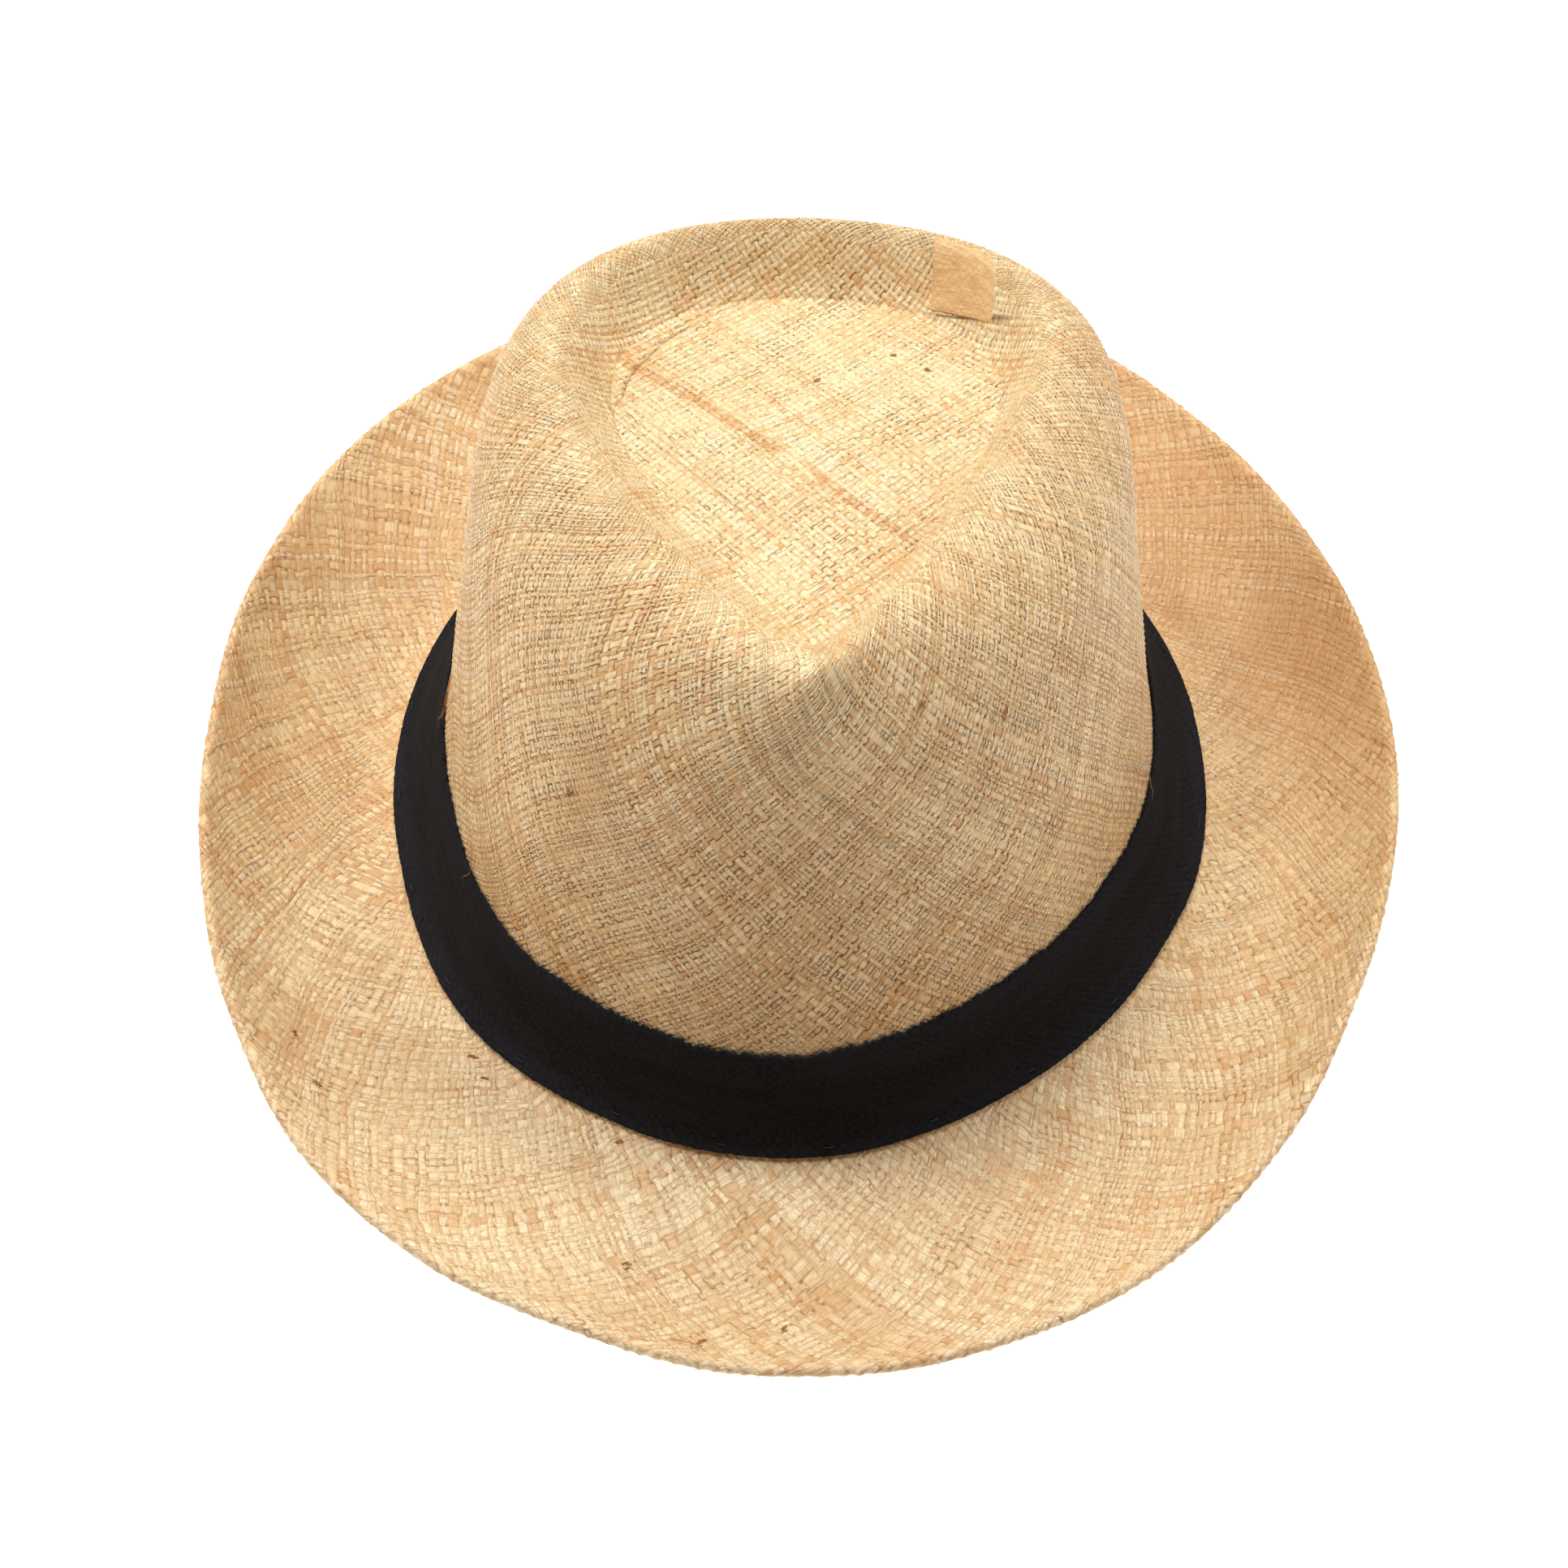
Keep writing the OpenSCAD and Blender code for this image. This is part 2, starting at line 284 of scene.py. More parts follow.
# ---------------- mesh helpers
def new_mesh(name, co, quads, tris=None, uv=None, uv2=None):
    me = bpy.data.meshes.new(name)
    quads = np.asarray(quads, np.int32).reshape(-1, 4)
    tris = np.zeros((0, 3), np.int32) if tris is None else np.asarray(tris, np.int32).reshape(-1, 3)
    loops = np.concatenate([quads.ravel(), tris.ravel()])
    starts = np.concatenate([np.arange(len(quads)) * 4, len(quads) * 4 + np.arange(len(tris)) * 3])
    me.vertices.add(len(co))
    me.vertices.foreach_set("co", metres(np.asarray(co, float)).astype(np.float32).ravel())
    me.loops.add(len(loops))
    me.loops.foreach_set("vertex_index", loops.astype(np.int32))
    me.polygons.add(len(starts))
    me.polygons.foreach_set("loop_start", starts.astype(np.int32))
    me.polygons.foreach_set("use_smooth", np.ones(len(starts), bool))
    for label, data in (("weave", uv), ("spot", uv2)):
        if data is not None:
            layer = me.uv_layers.new(name=label)
            layer.data.foreach_set("uv", np.asarray(data, np.float32).ravel())
    me.update(calc_edges=True)
    me.validate()
    ob = bpy.data.objects.new(name, me)
    bpy.context.scene.collection.objects.link(ob)
    return ob


def piece(ob, mat, slot, *nodes):
    ob.data.materials.append(mat)
    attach(ob, BODY)
    if nodes:
        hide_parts(*nodes)
    return ob


def grid_faces(rows, cols, wrap=False):
    i, j = np.meshgrid(np.arange(rows - 1), np.arange(cols if wrap else cols - 1), indexing="ij")
    k = (j + 1) % cols
    return np.stack([i * cols + j, i * cols + k, (i + 1) * cols + k, (i + 1) * cols + j], -1).reshape(-1, 4)


# ---------------- node helpers
class Nodes:
    def __init__(self, name):
        self.mat = bpy.data.materials.new(name)
        self.mat.use_nodes = True
        self.tree = self.mat.node_tree
        self.tree.nodes.clear()
        self.out = self.tree.nodes.new("ShaderNodeOutputMaterial")
        self.bsdf = self.tree.nodes.new("ShaderNodeBsdfPrincipled")
        self.link(self.bsdf.outputs[0], self.out.inputs[0])

    def link(self, a, b):
        self.tree.links.new(a, b)

    def put(self, sock, value):
        if isinstance(value, (int, float)):
            sock.default_value = value
        elif isinstance(value, (tuple, list)):
            alpha = () if len(value) == len(sock.default_value) else (1.0,)
            sock.default_value = tuple(value) + alpha
        else:
            self.link(value, sock)

    def give(self, name, value):
        """Set one input of the material's shader."""
        self.put(self.bsdf.inputs[name], value)

    def math(self, op, a, b=0.0, c=0.0, clamp=False):
        n = self.tree.nodes.new("ShaderNodeMath")
        n.operation = op
        n.use_clamp = clamp
        for k, x in enumerate((a, b, c)):
            self.put(n.inputs[k], x)
        return n.outputs[0]

    def add(self, a, b):
        return self.math("ADD", a, b)

    def sub(self, a, b):
        return self.math("SUBTRACT", a, b)

    def mul(self, a, b):
        return self.math("MULTIPLY", a, b)

    def clamped(self, a):
        return self.math("ADD", a, 0.0, clamp=True)

    def ramp(self, x, lo, hi, to_lo=0.0, to_hi=1.0):
        n = self.tree.nodes.new("ShaderNodeMapRange")
        n.interpolation_type = "SMOOTHSTEP"
        for k, v in zip(("Value", "From Min", "From Max", "To Min", "To Max"), (x, lo, hi, to_lo, to_hi)):
            self.put(n.inputs[k], v)
        return n.outputs[0]

    def mix(self, f, a, b):
        n = self.tree.nodes.new("ShaderNodeMix")
        n.data_type = "RGBA"
        self.put(n.inputs[0], f)
        self.put(n.inputs[6], a)
        self.put(n.inputs[7], b)
        return n.outputs[2]

    def lerp(self, f, a, b):
        return self.add(a, self.mul(f, self.sub(b, a)))

    def uv(self, name):
        n = self.tree.nodes.new("ShaderNodeUVMap")
        n.uv_map = name
        s = self.tree.nodes.new("ShaderNodeSeparateXYZ")
        self.link(n.outputs[0], s.inputs[0])
        return s.outputs[0], s.outputs[1]

    def xyz(self, x, y, z=0.0):
        n = self.tree.nodes.new("ShaderNodeCombineXYZ")
        for k, v in enumerate((x, y, z)):
            self.put(n.inputs[k], v)
        return n.outputs[0]

    def white(self, vec):
        n = self.tree.nodes.new("ShaderNodeTexWhiteNoise")
        n.noise_dimensions = "3D"
        self.link(vec, n.inputs["Vector"])
        return n.outputs["Value"]

    def noise(self, vec, scale=1.0, detail=2.0, rough=0.5):
        n = self.tree.nodes.new("ShaderNodeTexNoise")
        self.put(n.inputs["Vector"], vec)
        n.inputs["Scale"].default_value = scale
        n.inputs["Detail"].default_value = detail
        n.inputs["Roughness"].default_value = rough
        return n.outputs["Fac"]

    def attribute(self, name):
        """The three channels of a colour attribute."""
        n = self.tree.nodes.new("ShaderNodeAttribute")
        n.attribute_name = name
        rgb = self.tree.nodes.new("ShaderNodeSeparateColor")
        self.link(n.outputs["Color"], rgb.inputs[0])
        return rgb.outputs[0], rgb.outputs[1], rgb.outputs[2]

    def coords(self):
        return self.tree.nodes.new("ShaderNodeTexCoord").outputs["Object"]

    def bump(self, height, distance, strength=1.0):
        n = self.tree.nodes.new("ShaderNodeBump")
        n.inputs["Distance"].default_value = distance
        n.inputs["Strength"].default_value = strength
        self.link(height, n.inputs["Height"])
        return n.outputs[0]


def lin(*rgb):
    """A colour given as on a screen, from 0 to 255, in linear light."""
    part = [c / 255 for c in rgb]
    return tuple(c / 12.92 if c <= 0.04045 else ((c + 0.055) / 1.055) ** 2.4 for c in part)


SPREAD = 0.13          # how far an over strand spreads over its neighbours, in strands


def weave_cell(g, thin_show):
    """Where a point lies in the weave, and which strand is on top there."""
    w = SimpleNamespace()
    u0, v0 = g.uv("weave")
    sway_u = g.noise(g.xyz(g.mul(u0, 0.9), g.mul(v0, 0.9), 0.0), 1.0, 3.0, 0.6)
    sway_v = g.noise(g.xyz(g.mul(u0, 0.9), g.mul(v0, 0.9), 7.0), 1.0, 3.0, 0.6)
    w.u = g.add(u0, g.mul(g.sub(sway_u, 0.5), 0.24))
    w.v = g.add(v0, g.mul(g.sub(sway_v, 0.5), 0.24))
    w.iu, w.iv = g.math("FLOOR", w.u), g.math("FLOOR", w.v)
    w.near_u, w.near_v = g.math("ROUND", w.u), g.math("ROUND", w.v)
    w.gap_u = g.math("ABSOLUTE", g.sub(w.u, w.near_u))
    w.gap_v = g.math("ABSOLUTE", g.sub(w.v, w.near_v))
    thin_u, thin_v = is_thin(g, w.iu, 0.0), is_thin(g, w.iv, THIN_OFFSET)
    par = g.math("FLOORED_MODULO", g.add(w.iu, w.iv), 2.0)
    w.par = g.clamped(g.add(par, g.mul(g.sub(thin_v, thin_u), thin_show)))
    # an over strand spreads a little across its neighbours, so the lines between strands are stepped
    taken_u = g.mul(w.par, g.math("LESS_THAN", w.gap_u, SPREAD))
    taken_v = g.mul(g.sub(1.0, w.par), g.math("LESS_THAN", w.gap_v, SPREAD))
    cu = g.add(w.iu, g.mul(nearer_side(g, w.u), taken_u))
    cv = g.add(w.iv, g.mul(nearer_side(g, w.v), taken_v))
    over_v = g.add(g.mul(w.par, g.sub(1.0, taken_u)), taken_v)
    lu, lv = g.sub(w.u, cu), g.sub(w.v, cv)
    w.across = g.math("DIVIDE", g.add(g.lerp(over_v, lu, lv), SPREAD), 1 + 2 * SPREAD)
    w.along = g.math("DIVIDE", g.sub(g.lerp(over_v, lv, lu), SPREAD), 1 - 2 * SPREAD, 0.0, clamp=True)
    idu = g.math("FLOORED_MODULO", cu, float(N))
    idv = g.add(g.math("FLOORED_MODULO", cv, float(N)), 900.0)
    w.strand = g.lerp(over_v, idu, idv)
    w.thin = g.lerp(over_v, thin_u, thin_v)
    w.cell = g.white(g.xyz(idu, idv, 3.0))
    # fine fibres along each strand
    fine = g.add(g.mul(w.across, 6.0), g.mul(w.strand, 5.3))
    w.fibre = g.noise(g.xyz(fine, g.mul(w.along, 0.7), g.mul(w.cell, 3.0)), 1.0, 3.0, 0.7)
    w.section, w.round = g.uv("spot")
    w.wall = g.ramp(w.section, 5.8 / LAST, 7.4 / LAST)
    return w


def is_thin(g, index, offset):
    share = g.add(g.mul(g.math("FLOORED_MODULO", index, float(N)), THIN_STEP), offset)
    return g.math("LESS_THAN", g.math("FRACT", share), THIN_SHARE)


def nearer_side(g, x):
    """-1 in the first half of a cell, and 1 in the second."""
    return g.sub(g.mul(g.math("GREATER_THAN", g.math("FRACT", x), 0.5), 2.0), 1.0)


def dash(g, gap, edge, row, weight):
    """A dark dash of painted shade where one strand dives under the next, different at every crossing."""
    depth = g.sub(gap, SPREAD - 0.02)
    wide = g.add(0.10, g.mul(edge, 0.20))
    on = g.mul(g.math("GREATER_THAN", depth, 0.0), g.ramp(depth, 0.0, wide, 1.0, 0.0))
    strong = g.mul(g.ramp(edge, 0.0, 0.9, 0.5, 1.0), g.ramp(row, 0.36, 0.66, 0.5, 1.15))
    return g.mul(g.mul(on, weight), strong)


def weave_gaps(g, w):
    """The dark gaps of the weave with the painted shade where strands dive under, from 0 to 1."""
    far = g.mul(g.sub(w.v, w.u), 0.035)

    def row_noise(near, z):
        strand = g.math("FLOORED_MODULO", near, float(N))
        return g.noise(g.xyz(g.mul(strand, 3.7), far, z), 1.0, 2.0, 0.6)

    edge_u = g.white(g.xyz(w.near_u, w.iv, 40.0))
    edge_v = g.white(g.xyz(w.iu, w.near_v, 60.0))
    left = g.ramp(g.math("ABSOLUTE", g.sub(w.round, 0.77)), 0.05, 0.17, 1.0, 0.0)
    side = g.mul(w.wall, left)
    line_u = dash(g, w.gap_u, edge_u, row_noise(w.near_u, 11.0), w.par)
    line_v = dash(g, w.gap_v, edge_v, row_noise(w.near_v, 17.0), g.sub(1.0, w.par))
    line_u = g.mul(line_u, g.lerp(side, g.lerp(w.wall, 0.9, 1.2), 0.75))
    line_v = g.mul(line_v, g.lerp(side, g.lerp(w.wall, 0.85, 0.6), 1.1))
    corner = g.white(g.xyz(w.near_u, w.near_v, 80.0))
    hole = g.ramp(g.add(w.gap_u, w.gap_v), 0.06, g.add(0.18, g.mul(corner, 0.2)), 1.0, 0.0)
    hole = g.mul(hole, g.ramp(corner, 0.1, 0.9, 0.2, 1.0))
    patchy = g.noise(g.xyz(g.mul(w.u, 0.13), g.mul(w.v, 0.13), 5.0), 1.0, 3.0, 0.6)
    shade = g.math("MAXIMUM", g.math("MAXIMUM", line_u, line_v), hole)
    shade = g.mul(shade, g.ramp(patchy, 0.35, 0.68, 0.55, 1.15))
    on_wall = g.ramp(w.section, 5.8 / LAST, 7.2 / LAST, 0.9, 1.6)
    on_top = g.ramp(w.section, 9.6 / LAST, 10.4 / LAST, 0.0, 0.65)
    return g.math("MULTIPLY", shade, g.sub(on_wall, on_top), clamp=True)


def straw_colour(g, w, shade):
    """Every strand has its own colour, which wanders a little along its length."""
    run = g.sub(w.v, w.u)
    own = g.white(g.xyz(w.strand, 0.5, 5.0))
    slow = g.noise(g.xyz(g.mul(w.strand, 7.31), g.mul(run, 0.06), 1.7), 1.0, 2.0, 0.6)
    broad = g.noise(g.xyz(g.mul(w.strand, 0.17), g.mul(run, 0.02), 6.6), 1.0, 2.0, 0.6)
    tone = g.add(g.add(0.55, g.mul(g.sub(own, 0.5), 0.8)), g.mul(g.sub(slow, 0.5), 1.5))
    tone = g.add(tone, g.mul(g.sub(broad, 0.5), 2.2))
    worn = g.noise(g.xyz(g.mul(w.strand, 3.17), g.mul(run, 0.05), 9.4), 1.0, 1.0)
    tan = g.ramp(g.white(g.xyz(w.strand, 2.5, 9.0)), 0.84, 1.0)
    tan = g.mul(tan, g.ramp(worn, 0.3, 0.6, 0.2, 1.0))
    grey = g.ramp(g.white(g.xyz(w.strand, 4.5, 2.0)), 0.6, 1.0)
    grey = g.mul(grey, g.ramp(slow, 0.3, 0.7, 1.0, 0.3))
    # marks: painted shade in folds, a stained strand, and brownish worn places with painted shade
    fold, stain, wear_and_shade = g.attribute("marks")
    tan = g.math("MAXIMUM", tan, stain)
    crown = g.ramp(w.section, 8.6 / LAST, 10.6 / LAST)
    front = g.ramp(g.math("ABSOLUTE", g.sub(w.round, 0.5)), 0.25, 0.43)
    front = g.mul(front, g.sub(1.0, w.wall))
    deep = g.mix(crown, g.mix(front, lin(221, 172, 115), lin(226, 186, 137)), lin(238, 192, 130))
    pale = g.mix(crown, g.mix(front, lin(255, 226, 173), lin(255, 236, 194)), lin(255, 241, 194))
    col = g.mix(g.clamped(tone), deep, pale)
    col = g.mix(g.mul(tan, 0.7), col, lin(212, 152, 92))
    col = g.mix(g.mul(stain, 0.5), col, lin(206, 140, 72))
    col = g.mix(g.mul(grey, 0.5), col, lin(216, 200, 162))
    col = g.mix(g.mul(w.thin, 0.6), col, lin(255, 238, 200))
    col = g.mix(g.ramp(w.cell, 0.0, 1.0, 0.0, 0.12), col, lin(255, 240, 208))
    col = g.mix(g.ramp(w.fibre, 0.30, 0.66, 0.55, 0.0), col, lin(178, 126, 74))
    col = g.mix(g.ramp(w.fibre, 0.55, 0.85, 0.0, 0.25), col, lin(255, 242, 210))
    cloud = g.noise(g.coords(), 26.0, 3.0, 0.55)
    col = g.mix(g.ramp(cloud, 0.35, 0.7, 0.0, 0.20), col, lin(216, 166, 110))
    # the gaps and their painted shade are brown, darker on the crown's wall
    gap = g.mix(w.wall, lin(132, 80, 38), lin(108, 64, 28))
    col = g.mix(g.mul(g.clamped(shade), g.lerp(w.wall, 0.78, 0.88)), col, gap)
    # brownish worn places, and painted shade on the brim's back right and along the dent's foot
    col = g.mix(g.mul(wear_and_shade, g.add(0.4, g.mul(own, 0.4))), col, lin(184, 128, 74))
    # painted shade, dark brown, in the crease of the dent and under the lap patch's edge
    return g.mix(fold, col, lin(96, 56, 26))


def straw_material(name, relief, strength, dull=1.0, thin_show=1.0):
    """Plain-woven straw. uv map weave is (u, v) in strands, and uv map spot is (section, turn),
    both from 0 to 1. Attribute marks is (painted shade in folds, stain, wear and painted shade)."""
    g = Nodes(name)
    w = weave_cell(g, thin_show)
    shade = weave_gaps(g, w)
    g.give("Base Color", straw_colour(g, w, shade))
    g.give("Roughness", g.ramp(w.fibre, 0.2, 0.8, 0.62 * dull, 0.46 * dull))
    g.give("Specular IOR Level", 0.3)
    arch = g.math("SINE", g.mul(w.along, math.pi))
    off_middle = g.math("ABSOLUTE", g.sub(g.mul(w.across, 2.0), 1.0))
    flat = g.sub(1.0, g.math("POWER", off_middle, 3.0))
    height = g.add(g.mul(arch, 0.5), g.mul(flat, 0.5))
    height = g.add(height, g.mul(g.sub(w.fibre, 0.5), 0.5))
    height = g.sub(height, g.mul(shade, 0.6))
    g.give("Normal", g.bump(height, relief * MM, strength))
    return g.mat


def ribbon_material(name, dark, light, rough, relief, sheen=0.0):
    """Woven ribbon. uv map weave is (warp threads, weft threads)."""
    g = Nodes(name)
    u, v = g.uv("weave")
    twill = g.math("FRACT", g.mul(g.add(u, v), 0.25))
    cord = g.math("ABSOLUTE", g.sub(g.mul(twill, 2.0), 1.0))
    thread = g.math("ABSOLUTE", g.sub(g.mul(g.math("FRACT", v), 2.0), 1.0))
    cell = g.white(g.xyz(g.math("FLOOR", u), g.math("FLOOR", v), 1.0))
    fuzz = g.noise(g.xyz(g.mul(u, 0.5), g.mul(v, 0.7), 2.0), 1.0, 4.0, 0.75)
    slow = g.noise(g.xyz(g.mul(u, 0.02), g.mul(v, 0.12), 7.0), 1.0, 3.0)
    f = g.add(g.mul(g.ramp(cord, 0.1, 0.9), 0.14), g.mul(cell, 0.26))
    f = g.add(f, g.mul(g.ramp(fuzz, 0.3, 0.7), 0.6))
    col = g.mix(f, dark, light)
    col = g.mix(g.ramp(slow, 0.35, 0.7, 0.0, 0.35), col, light)
    g.give("Base Color", col)
    g.give("Roughness", g.ramp(fuzz, 0.2, 0.8, rough - 0.08, rough + 0.08))
    g.give("Specular IOR Level", 0.08)
    g.give("Sheen Weight", sheen)
    g.give("Sheen Roughness", 0.5)
    h = g.add(g.mul(cord, 0.25), g.mul(thread, 0.3))
    h = g.add(h, g.mul(fuzz, 0.8))
    g.give("Normal", g.bump(h, relief * MM, 0.9))
    return g.mat


def thread_material(name, dark, light):
    """Twisted thread. uv map weave is (along, round)."""
    g = Nodes(name)
    u, v = g.uv("weave")
    ply = g.math("FRACT", g.add(g.mul(u, 6.0), g.mul(v, 2.0)))
    ridge = g.math("SINE", g.mul(ply, math.pi))
    hair = g.noise(g.xyz(g.mul(u, 14.0), g.mul(v, 9.0), 0.0), 1.0, 3.0)
    # lighter on each ply's crest and darker between plies: the twist's pattern with a painted highlight
    g.give("Base Color", g.mix(g.add(g.mul(ridge, 0.6), g.mul(hair, 0.4)), dark, light))
    g.give("Roughness", g.ramp(hair, 0.2, 0.8, 0.55, 0.75))
    g.give("Normal", g.bump(g.add(ridge, g.mul(hair, 0.4)), 0.00012, 0.8))
    return g.mat


# ---------------- woven straw, brim to rim
rng = np.random.default_rng(11)
STEPS = 2              # mesh points across one strand
BLOCK = 31
# brownish worn places, and painted shade on the brim's back right: section, angle in degrees, reach in mm,
# strength
STAINS_AND_SHADE = [(1.3, -56, 5, 0.5), (2.6, -48, 7, 0.3), (4.2, -40, 6, 0.5), (0.9, -14, 5, 0.4), (8.3, -38, 6, 0.6),
          (3.2, 118, 12, 0.8), (1.6, 122, 26, 0.9), (1.4, 108, 30, 1.0), (2.6, 128, 22, 0.9)]


def smooth_noise(r, n, step):
    """A wandering value round a closed row of n strands."""
    knots = r.standard_normal(max(n // step, 3))
    return np.interp(np.arange(n), np.linspace(0, n, len(knots) + 1), np.append(knots, knots[0]))


class Strands:
    """Widths and heights of one family of strands. Some strands are thin, pale and lie on top."""

    def __init__(self, seed, offset):
        r = np.random.default_rng(seed)
        fine = r.standard_normal(N)
        size = np.exp(0.30 * np.clip(fine, -1.8, 2.0) + 0.13 * smooth_noise(r, N, 7))
        size[(np.arange(N) * THIN_STEP + offset) % 1 < THIN_SHARE] *= 0.6
        for k in range(0, N, BLOCK):
            size[k:k + BLOCK] /= size[k:k + BLOCK].mean()
        size *= N / size.sum()
        self.edges = np.concatenate([[0], np.cumsum(size)])
        self.lift = r.normal(0, 0.05, N) - 0.05 * (size - 1)

    def at(self, cells):
        k = np.floor(cells).astype(int)
        turns, k = k // N, k % N
        return turns * N + self.edges[k] + (cells - np.floor(cells)) * (self.edges[k + 1] - self.edges[k])


FAMILY_U, FAMILY_V = Strands(3, 0.0), Strands(8, THIN_OFFSET)


def paint(me, colours):
    layer = me.color_attributes.new("marks", "FLOAT_COLOR", "POINT")
    rgba = np.ones((len(colours), 4), np.float32)
    rgba[:, :3] = colours
    layer.data.foreach_set("color", rgba.ravel())


def marks_at(s, t):
    """Painted marks (fold, stain, wear and painted shade), here only worn places and painted shade."""
    deg = degrees_round(t)
    out = np.zeros(s.shape + (3,))
    for s0, t0, size, strength in STAINS_AND_SHADE:
        d2 = ((s - s0) * 12 / size) ** 2 + (np.sin(np.radians(deg - t0) / 2) * 160 / size) ** 2
        out[..., 2] = np.maximum(out[..., 2], strength * np.exp(-d2))
    return out


def seam(t):
    """Section of the wandering line where the spiral weave meets the top's square weave."""
    return S_SEAM + 0.05 * np.sin(5 * t + 1) + 0.04 * np.sin(11 * t)


class Weave:
    """The spiral weave from the turned hem up to the rim, as one structured grid."""

    def __init__(self, amp):
        k0 = int(STEPS * (row_of(S_HEM) - 6))
        k1 = int(STEPS * (row_of(S_SEAM + 0.2) + 6))
        ks = np.arange(k0, k1 + 1)
        self.n = n = STEPS * N
        i = np.arange(n)[None, :] + 0 * ks[:, None]
        j = i + ks[:, None]
        self.cu, self.cv = i / STEPS, j / STEPS
        self.s, self.t = s, t = place(FAMILY_U.at(self.cu), FAMILY_V.at(self.cv))
        mid_u, mid_v = i % STEPS == 1, j % STEPS == 1
        over_u = (i // STEPS + j // STEPS) % 2 == 0
        size = amp * np.interp(s, [0, 5, 7, 10], [1.15, 1.1, 0.85, 0.8])
        h = size * np.where(mid_u & mid_v, 0.35, np.where(mid_u | mid_v, -0.3, -0.75))
        lift = np.where(over_u, FAMILY_U.lift[(i // STEPS) % N], FAMILY_V.lift[(j // STEPS) % N])
        h += lift * (mid_u & mid_v)
        h += rng.normal(0, 0.02, h.shape)
        h -= 0.7 * np.clip((s - seam(t)) / 0.12, 0, 1)
        self.co = cloth(s, t, h)
        self.marks = marks_at(s, t)
        rows = len(ks)
        r, c = np.meshgrid(np.arange(1, rows - 1), np.arange(n), indexing="ij")
        nx = (c + 1) % n
        self.quads = np.stack([r * n + c, (r - 1) * n + nx, r * n + nx, (r + 1) * n + c], -1).reshape(-1, 4)
        self.mid = self.s.ravel()[self.quads].mean(1)

    def cut(self, name, s_lo, s_hi):
        quads = self.quads[(self.mid >= s_lo) & (self.mid < s_hi)]
        ids, local = np.unique(quads, return_inverse=True)
        local = local.reshape(-1, 4)
        uv = np.stack([self.cu, self.cv], -1).reshape(-1, 2)[quads.ravel()]
        closing = (quads % self.n == 0) & np.any(quads % self.n == self.n - 1, axis=1, keepdims=True)
        uv = uv + closing.ravel()[:, None] * float(N)
        spot = np.stack([np.clip(self.s, 0, LAST) / LAST, (self.t / TAU) % 1.0], -1)
        spot = spot.reshape(-1, 2)[quads.ravel()]
        ob = new_mesh(name, self.co.reshape(-1, 3)[ids], local, None, uv, spot)
        paint(ob.data, self.marks.reshape(-1, 3)[ids])
        return ob


S_EDGE = S_FOLD - math.pi * FOLD_R / EDGE_MM
S_HEM = S_EDGE - 6.4 / EDGE_MM
S_UNDER_BAND = 5.6
straw = straw_material("straw_weave", 0.16, 0.8)
straw_in = straw_material("straw_weave_inside", 0.22, 0.9, 1.1, 0.0)
weave = Weave(0.26)
piece(weave.cut("straw_hem_turned_under", S_HEM, S_EDGE + 0.02), straw, "hem_straw", "brim_hem")
piece(weave.cut("straw_brim", S_EDGE + 0.02, S_UNDER_BAND), straw, "straw", "hat_body")
piece(weave.cut("straw_crown", S_UNDER_BAND, S_SEAM + 0.2), straw, "straw", "hat_body")


# ---------------- the top, woven square
TOP_PITCH = 1.5


def top_weave(s, t):
    """Square weave coordinates on the dent, unrolled outwards from its crease."""
    sf = np.arange(9.8, CREASE + 1e-6, 0.02)
    tf = np.linspace(0, TAU, 721)
    p = face(sf[:, None], tf[None, :])
    d = np.concatenate([np.linalg.norm(np.diff(p, axis=0), axis=-1), np.zeros((1, 721))], 0)
    arc = np.cumsum(d[::-1], 0)[::-1]
    y = np.clip((s - 9.8) / 0.02, 0, len(sf) - 1.001)
    x = (t % TAU) / TAU * 720
    i, j = y.astype(int), np.minimum(x.astype(int), 719)
    fy, fx = y - i, x - j
    a = ((1 - fy) * ((1 - fx) * arc[i, j] + fx * arc[i, j + 1])
         + fy * ((1 - fx) * arc[i + 1, j] + fx * arc[i + 1, j + 1]))
    a = np.where(s < CREASE, a, 0)
    base = face(np.maximum(s, CREASE), t)[..., :2]
    e = 1e-3
    tang = unit(face(np.full_like(t, CREASE), t + e)[..., :2] - face(np.full_like(t, CREASE), t - e)[..., :2])
    out = np.stack([tang[..., 1], -tang[..., 0]], -1)
    q = base + out * a[..., None]
    q = q + 0.7 * np.stack([np.sin(q[..., 1] * 0.11 + 1), np.sin(q[..., 0] * 0.09)], -1)
    c, sn = math.cos(math.radians(44)), math.sin(math.radians(44))
    u = (-q[..., 0] * sn + q[..., 1] * c) / TOP_PITCH + 400
    v = (q[..., 0] * c + q[..., 1] * sn) / TOP_PITCH + 400
    return u + 0.12 * np.sin(u * 0.9), v + 0.12 * np.sin(v * 1.3)


def crease_at(deg):
    """Section of the sharp crease on the left of the dent."""
    return np.interp(deg, [-150, -147, -128, -108, -87], [12.15, 12.15, 12.25, 12.1, 10.9])


